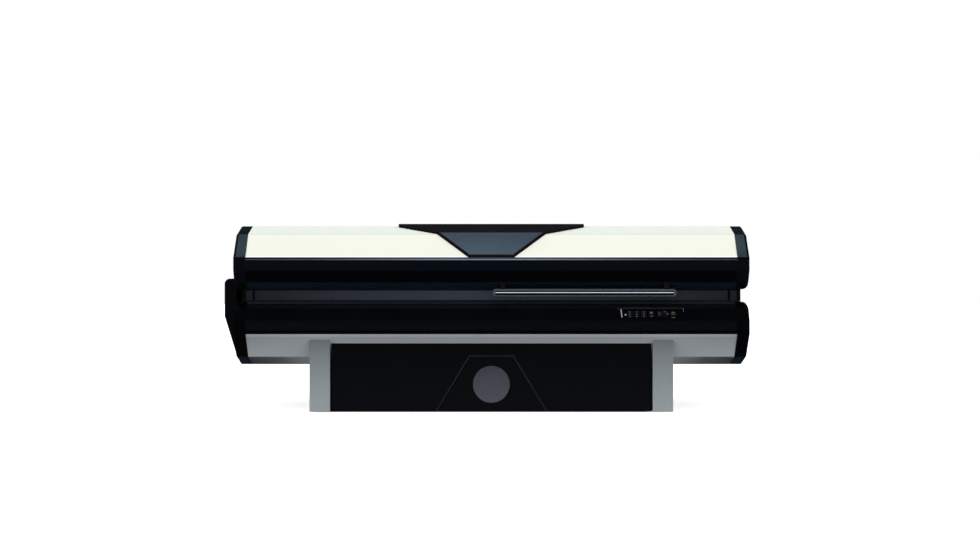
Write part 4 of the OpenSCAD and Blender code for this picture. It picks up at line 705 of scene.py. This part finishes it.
dress("canopy_frame", rib_coat, 0.5)
dress("canopy_lamp_boards", solder_resist)
dress("canopy_heat_sinks", extruded_aluminium)
dress("canopy_sheet", clear_acrylic)
dress("canopy_end_walls", inner_white, 0.6)
put("canopy_lenses", [lens_array(**ARCH)], lens, "canopy", merge=False)

# Waist
# A black powder-coated skirt closes the canopy below. Three panels in satin slate paint are fixed
# on its front, and a rubber lip runs along its foot.

# Satin slate paint: a fade towards both ends stands in for the light of the middle
waist_paint = finish(
    "satin_slate_paint", "#20242e", Roughness=0.4, gloss=(0.36, 0.46, 30), grain=(1.4, 0.02))
tint(waist_paint, graded(waist_paint, "|X|", [(200, "#333b4b"), (650, "#2b3242"), (1080, "#1a202c")]), 400)
dress("waist_skirt", satin_black, 0.8)
dress("waist_panel", waist_paint, 0.8)


def box_part(low, high):
    """A box between two corners: the eight points and six faces of one closed part."""
    points = np.stack(np.meshgrid(*np.stack([low, high], 1), indexing="ij"), -1).reshape(-1, 3)
    return points, [(0, 1, 3, 2), (4, 6, 7, 5), (0, 4, 5, 1), (2, 3, 7, 6), (0, 2, 6, 4), (1, 5, 7, 3)]


# The lip keeps the light in; it stops short of each bumper
LIP = dict(x=1125.0, y=462.0, thick=3.0, low=497.0, high=502.0, gap=8.0)
BUMPERS = (-0.75, -0.25, 0.25, 0.75)      # where the bumpers stand, as shares of END_X
cuts = [share * END_X + side * LIP["gap"] for share in BUMPERS for side in (-1, 1)]
cuts = [-LIP["x"], *cuts, LIP["x"]]
runs = [box_part((a, y, LIP["low"]), (b, y + LIP["thick"], LIP["high"]))
        for a, b in zip(cuts[::2], cuts[1::2]) for y in (-LIP["y"], LIP["y"] - LIP["thick"])]
end = LIP["y"] - LIP["thick"] - 0.1       # the lips across the ends fit between the long ones
runs += [box_part((x, -end, LIP["low"]), (x + LIP["thick"], end, LIP["high"]))
         for x in (-LIP["x"], LIP["x"] - LIP["thick"])]
put("waist_lip", runs, rubber, "canopy")

# Canopy bands and trim strips
# Gloss black covers like the tub's: an upright band over one that leans in to the waist. Above each
# lies an extruded aluminium strip, anodised slate, whose ridge carries a painted highlight line.

UNDER_IN, LEAN_IN = 75.0, 33.0      # the canopy's lower folds, in from the body's side
band = [(FLANGE_IN, CANOPY["under"]), (UNDER_IN, CANOPY["under"]), (LEAN_IN, CANOPY["lean"]),
        (0, CANOPY["upright"]), (0, CANOPY["strip"]), (RETURN_IN, CANOPY["strip"])]
folds = np.array([1, 3, 4, 5, 1, 1.0])
for name, rear in (("front", False), ("rear", True)):
    put(f"canopy_{name}_cover", [bent_panel(band, fold=folds, rear=rear)], gloss_black,
        "canopy", [f"canopy_{name}_band"])
# Anodised aluminium, slate. Its colours are painted light: a painted highlight on the ridge, a painted
# shadow in the groove above it, and both fade darker towards the ends as painted shade for the studio's soft
# light
anodised = finish(
    "slate_anodised_aluminium", "#8f9dab", Metallic=0.2, Roughness=0.32, gloss=(0.28, 0.38, 20))
ridge = graded(anodised, "Z", [(683.3, "#3b434e"), (683.9, "#b0becc")])
ends = graded(anodised, "|X|", [(200, "#ffffff"), (790, "#a3a5a8"), (1000, "#8e9195")])
groove = graded(anodised, "|X|", [(200, "#4c5a68"), (790, "#0f1d29"), (1000, "#06111d")])
above = graded(anodised, "Z", [(686.6, "#000000"), (687.2, "#ffffff")])
lit = blend(anodised, 1.0, ridge, ends, "MULTIPLY")
tint(anodised, blend(anodised, above, lit, groove), 90)
relief(anodised, 1.0, 0.01, stretch=(0.03, 1, 1))
dress("canopy_trim_strips", anodised, 0.5)

# Canopy panels
# Three long white panels, gel-coated: a steep one at the front, a shallow bent roof and a rear
# one with five groups of warm-air slots. Their edges meet in hairline joints at the folds.

# White gel coat, warm white on the steep facet; the roof is painted cooler and lighter as if lit from
# overhead, and a painted highlight runs along the foot
gel_coat = finish(
    "white_gel_coat", "#f1f3e7", Roughness=0.34, Specular_IOR_Level=0.12, gloss=(0.3, 0.36, 60),
    grain=(60, 0.02, 0.15))
tint(gel_coat, graded(gel_coat, "Z", [
    (700, "#ffffff"), (703, "#f1f3e6"), (799, "#f1f3e6"), (803, "#f6fdf4")]), 420, 0.01)
WHITE_IN = 5.0      # foot of the white panels, in from the body's side
steep = [(WHITE_IN, CANOPY["white"]), (MAIN_IN, CANOPY["fold"])]
level = (CANOPY["white"], CANOPY["fold"])
put("front_panel", [bent_panel(steep, level=level)], gel_coat,
    "canopy", ["canopy_front_panel"])
half = [(MAIN_IN, CANOPY["fold"]), (LOW_IN, CANOPY["roof"])]
roof = half + [(2 * HALF_D - i, z) for i, z in half[::-1]]
put("top_panel", [bent_panel(roof, fold=6, level=(CANOPY["fold"], np.inf))], gel_coat,
    "canopy", ["canopy_top_panel"])
# Each group has nine slots, 8 mm wide and 40 mm high
VENT = dict(pitch=22.0, half_w=4.0, half_h=20.0, z=(CANOPY["white"] + CANOPY["fold"]) / 2)
mids = [x + VENT["pitch"] * i for x in END_X / 3 * np.arange(-2, 3) for i in range(-4, 5)]
slots = [(x - VENT["half_w"], x + VENT["half_w"], VENT["z"] - VENT["half_h"], VENT["z"] + VENT["half_h"])
         for x in mids]
put("rear_panel", [bent_panel(steep, rear=True, level=level, windows=slots)], gel_coat,
    "canopy", ["canopy_rear_panel"])

# Badge plate and inlay
# A thick black moulded plate lies over the middle of the canopy, from the front strip to the rear
# of the roof, with a slate lacquered inlay set flush in its front. Both are bare of lettering.

plate_gloss = finish(
    "gloss_black_plate", "#151010", Roughness=0.24, Specular_IOR_Level=0.1, hue=("#140e0e", "#171212", 200),
    gloss=(0.22, 0.32, 60))
inlay_lacquer = finish(
    "slate_lacquer", "#3d4a57", Roughness=0.34, Specular_IOR_Level=0.3, gloss=(0.28, 0.38, 12))
# Darker towards the top and lighter towards the foot: painted light and shade
tint(inlay_lacquer, graded(inlay_lacquer, "Z", [(725, "#3f4d5b"), (790, "#323f4b")]), 150, 0.05)
dress("badge_plate", plate_gloss, 2.0, 3)
dress("badge_inlay", inlay_lacquer, 0.6)
# A strip of black filter foam lies at the foot of each slot
filter_foam = finish(
    "black_filter_foam", "#050505", Roughness=0.95, Specular_IOR_Level=0.1, hue=("#030303", "#0a0a0a", 2),
    grain=(2.0, 0.3))
FOAM = dict(pitch=40.0, half=4.9, y0=96.1, y1=225.9, low=CANOPY["roof"] + 0.1, high=CANOPY["roof"] + 2)
strips = [box_part((x - FOAM["half"], FOAM["y0"], FOAM["low"]), (x + FOAM["half"], FOAM["y1"], FOAM["high"]))
          for x in FOAM["pitch"] * np.arange(-8, 9)]
put("badge_slot_foam", strips, filter_foam, "canopy")

# Canopy end caps
# Moulded like the tub's caps, in gloss charcoal ABS, with rounded edges. They close the canopy's
# ends, with a slot at the rear for each gas strut.

# Gloss charcoal ABS: nearly black, with a cooler sheen than the bands
cap_gloss = finish(
    "gloss_charcoal_abs", "#050608", Roughness=0.18, Specular_IOR_Level=0.5, gloss=(0.14, 0.22, 90),
    grain=(12, 0.02, 0.6))
canopy_side = [(UNDER_IN, CANOPY["under"]), (LEAN_IN, CANOPY["lean"]), (0, CANOPY["upright"]),
               (0, CANOPY["white"]), (MAIN_IN, CANOPY["fold"]), (LOW_IN, CANOPY["roof"])]
for name, left in (("left", True), ("right", False)):
    put(f"canopy_cap_{name}", end_cap(canopy_side, CANOPY["under"], CANOPY["roof"], -1, left, edge=12.0),
        cap_gloss, "canopy", [f"canopy_end_cap_{name}"])

# Handle
# A long oval steel tube, lacquered slate, hangs under the canopy's front on two black cast brackets.
# A black grip channel with a thin near-white strip is let into its front; their colours are painted
# reflection, the dark band and the bright highlight line of a glossy tube.

# The tube's axis, its half sizes and its straight part; then the heights of channel and strip
BAR = dict(y=-515.0, z=537.0, deep=13.5, tall=17.5, x0=18.5, x1=817.5)
CHANNEL, STRIP = (526.0, 545.0), (535.8, 539.0)


def bar_tube():
    """The oval tube: points (deep cos t, tall sin t) round the axis, carried from x0 to x1; past each
    end, at a share sin(u) of the depth, the ring is drawn in by cos(u), which closes it in a dome."""
    t = np.radians(np.arange(0, 360, 9))
    u = np.radians([84, 72, 60, 45, 30, 15])
    xs = np.concatenate([BAR["x0"] - BAR["deep"] * np.sin(u), np.linspace(BAR["x0"], BAR["x1"], 9),
                         BAR["x1"] + BAR["deep"] * np.sin(u[::-1])])
    share = np.concatenate([np.cos(u), np.ones(9), np.cos(u[::-1])])
    rings = np.stack([np.repeat(xs[:, None], len(t), 1), BAR["y"] + BAR["deep"] * np.outer(share, np.cos(t)),
                      BAR["z"] + BAR["tall"] * np.outer(share, np.sin(t))], -1)
    n, i = len(t), np.arange(len(t))
    on = (i + 1) % n
    sides = np.concatenate([np.stack([k * n + i, k * n + on, (k + 1) * n + on, (k + 1) * n + i], 1)
                            for k in range(len(xs) - 1)])
    ends = i[::-1], i + (len(xs) - 1) * n
    return rings.reshape(-1, 3), [tuple(side.tolist()) for side in (*sides, *ends)]


def bar_sheet(low, high, out, inset):
    """A sheet on the bar's front between two heights, out mm proud of it and 1 mm thick; at a height z
    the oval's front is at deep sqrt(1 - ((z - axis) / tall)^2). It stops inset mm short of the ends."""
    z = np.linspace(low, high, 7)
    front = BAR["y"] - BAR["deep"] * np.sqrt(1 - ((z - BAR["z"]) / BAR["tall"]) ** 2)
    rows = [np.stack([front - out, z], 1), np.stack([front - out + 1, z], 1)]
    return two_skins(*(along_x(row, [BAR["x0"] + inset, BAR["x1"] - inset]) for row in rows))


# Gloss lacquer on steel tube, slightly uneven in colour and gloss; the brackets are coated matt black
slate_lacquer = finish(
    "slate_lacquered_steel_tube", "#454f5c", Roughness=0.3, Specular_IOR_Level=0.4,
    hue=("#454f5d", "#4c5665", 60), gloss=(0.26, 0.36, 40))
cast_zinc = finish(
    "black_coated_cast_zinc", "#101216", Roughness=0.38, Specular_IOR_Level=0.2,
    hue=("#0a0c0f", "#121519", 30), gloss=(0.33, 0.45, 6), grain=(1.2, 0.03))
# Ribbed rubber of the grip channel, dull black; its dark band is a painted reflection of a glossy tube
grip_rubber_and_dark_reflection = finish(
    "grip_rubber_and_painted_reflection", "#030405", Roughness=0.7, Specular_IOR_Level=0.15, gloss=(0.6, 0.8, 3),
    grain=(0.8, 0.02))
# Aluminium strip, near white: a painted highlight, the bright line a glossy tube shows along its front
strip_and_painted_highlight = finish(
    "strip_painted_highlight", "#eef4f6", Metallic=0.1, Roughness=0.3, gloss=(0.25, 0.36, 30))
put("handle_tube", [bar_tube()], slate_lacquer, "canopy", ["handle_bar"])
dress("handle_brackets", cast_zinc, 0.8)
put("handle_channel", [bar_sheet(*CHANNEL, out=0.3, inset=0.0)], grip_rubber_and_dark_reflection, "canopy")
put("handle_strip", [bar_sheet(*STRIP, out=0.6, inset=1.0)], strip_and_painted_highlight, "canopy")

# Hinges, gas struts and bumpers
# Four steel hinges along the rear, and at each end a gas strut: a painted cylinder on the tub's pin
# and a hard-chromed rod on the canopy's. Rubber bumpers on the rim take the closed canopy.

strut_paint = finish("painted_strut_tube", "#0f1012", Roughness=0.35, gloss=(0.3, 0.42, 15))
hard_chrome = finish("hard_chromed_rod", "#c9ccd0", Metallic=0.6, Roughness=0.08, gloss=(0.05, 0.12, 20))
for name in ("hinge_tub_leaves", "hinge_canopy_leaves"):
    dress(name, powder_coat, 0.8)
dress("hinge_pins", zinc, 0.5)
for side in ("left", "right"):
    dress(f"strut_cylinder_{side}", strut_paint, 0.6)
    dress(f"strut_rod_{side}", hard_chrome, 0.4)
dress("closing_bumpers", rubber, 0.5)

# Floor, light and camera
# A plain pale floor and soft studio light, with the camera level at the photograph's angle.

floor_paint = finish(
    "pale_studio_floor", "#fbfbfa", Roughness=0.8, Specular_IOR_Level=0.1, Emission_Color=(1, 1, 1, 1),
    hue=("#fafaf9", "#fcfcfb", 900))
# Lit from below like a light table, for the camera alone, but not in the dark under the base
DARK_X, DARK_Y, DARK_EDGE = 0.72, 0.46, 0.06      # half size of the dark patch, and its soft edge
GLOW = 0.7
tree, shader = wiring(floor_paint)
place = add(tree, "ShaderNodeSeparateXYZ", {0: where(floor_paint)}).outputs
shares = []
for side, half in (("X", DARK_X), ("Y", DARK_Y)):
    far = add(tree, "ShaderNodeMath", {0: place[side]}, operation="ABSOLUTE")
    share = add(tree, "ShaderNodeMapRange", {
        "Value": far.outputs[0], "From Min": half, "From Max": half + DARK_EDGE})
    shares.append(share.outputs[0])
open_floor = add(tree, "ShaderNodeMath", {0: shares[0], 1: shares[1]}, operation="MAXIMUM")
ray = add(tree, "ShaderNodeLightPath").outputs
seen_lit = add(tree, "ShaderNodeMath", {
    0: ray["Is Camera Ray"], 1: open_floor.outputs[0]}, operation="MULTIPLY")
glow = add(tree, "ShaderNodeMath", {0: seen_lit.outputs[0], 1: GLOW}, operation="MULTIPLY")
tree.links.new(glow.outputs[0], shader.inputs["Emission Strength"])
sheet = bpy.data.meshes.new("studio_floor")
FAR = 30.0        # half width of the floor, in metres
sheet.from_pydata([(-FAR, -FAR, 0), (FAR, -FAR, 0), (FAR, FAR, 0), (-FAR, FAR, 0)], [], [(0, 1, 2, 3)])
sheet.materials.append(floor_paint)
floor = bpy.data.objects.new("studio_floor", sheet)
bpy.context.scene.collection.objects.link(floor)
floor.visible_glossy = False        # the blacks of the photograph mirror no floor

# The studio's white surround lights the matt surfaces evenly; what gloss mirrors is a dark room with
# one bluish light overhead, so only facets that look up shine
studio = bpy.data.worlds.new("studio")
studio.use_nodes = True
bpy.context.scene.world = studio
tree = studio.node_tree
tree.nodes.clear()
SURROUND, DARK_ROOM, OVERHEAD = (1, 1, 1, 1), (0.02, 0.03, 0.045, 1), (0.9, 1.3, 1.65, 1)
RIM_UP, FULL_UP = 0.955, 0.999      # the overhead light's soft edge, as the z of a direction
ray = add(tree, "ShaderNodeLightPath").outputs
way = add(tree, "ShaderNodeSeparateXYZ", {0: add(tree, "ShaderNodeTexCoord").outputs["Generated"]})
overhead = add(tree, "ShaderNodeMapRange", {
    "Value": way.outputs["Z"], "From Min": RIM_UP, "From Max": FULL_UP}, interpolation_type="SMOOTHSTEP")
mirrored = blend(studio, overhead.outputs[0], DARK_ROOM, OVERHEAD)
around = blend(studio, ray["Is Glossy Ray"], SURROUND, mirrored)
light = add(tree, "ShaderNodeBackground", {"Color": around, "Strength": 1.0})
add(tree, "ShaderNodeOutputWorld", {"Surface": light.outputs[0]})


def softbox(name, place, aim, size, power):
    """A rectangular area light at place, facing aim, size metres wide and high, that gloss doesn't
    mirror and the camera doesn't see."""
    lamp = bpy.data.lights.new(name, "AREA")
    lamp.shape, lamp.size, lamp.size_y, lamp.energy = "RECTANGLE", *size, power
    holder = bpy.data.objects.new(name, lamp)
    bpy.context.scene.collection.objects.link(holder)
    holder.location = place
    holder.rotation_mode = "QUATERNION"
    away = np.asarray(place, float) - np.asarray(aim, float)
    holder.rotation_quaternion = mathutils.Vector(away).to_track_quat("Z", "Y")
    holder.visible_glossy = holder.visible_camera = False


softbox("front_softbox", place=(0.6, -3.6, 3.4), aim=(0.1, 0, 0.6), size=(4.5, 2.0), power=9)
softbox("top_softbox", place=(0, 0.4, 3.6), aim=(0, 0, 0.6), size=(4.0, 2.5), power=9)

# The camera stands 8.55 m from the bed's middle, level, 0.614 m above the floor
EYE, SENSOR_MM, LENS_MM = (0.0245, -8.55, 0.614), 36.0, 65.8
scene = bpy.context.scene
scene.view_settings.view_transform = "Standard"
optics = bpy.data.cameras.new("photo_camera")
optics.sensor_width, optics.lens = SENSOR_MM, LENS_MM
optics.clip_start, optics.clip_end = 0.1, 100
camera = bpy.data.objects.new("photo_camera", optics)
scene.collection.objects.link(camera)
camera.location = EYE
camera.rotation_euler = (np.pi / 2, 0, 0)
scene.camera = camera
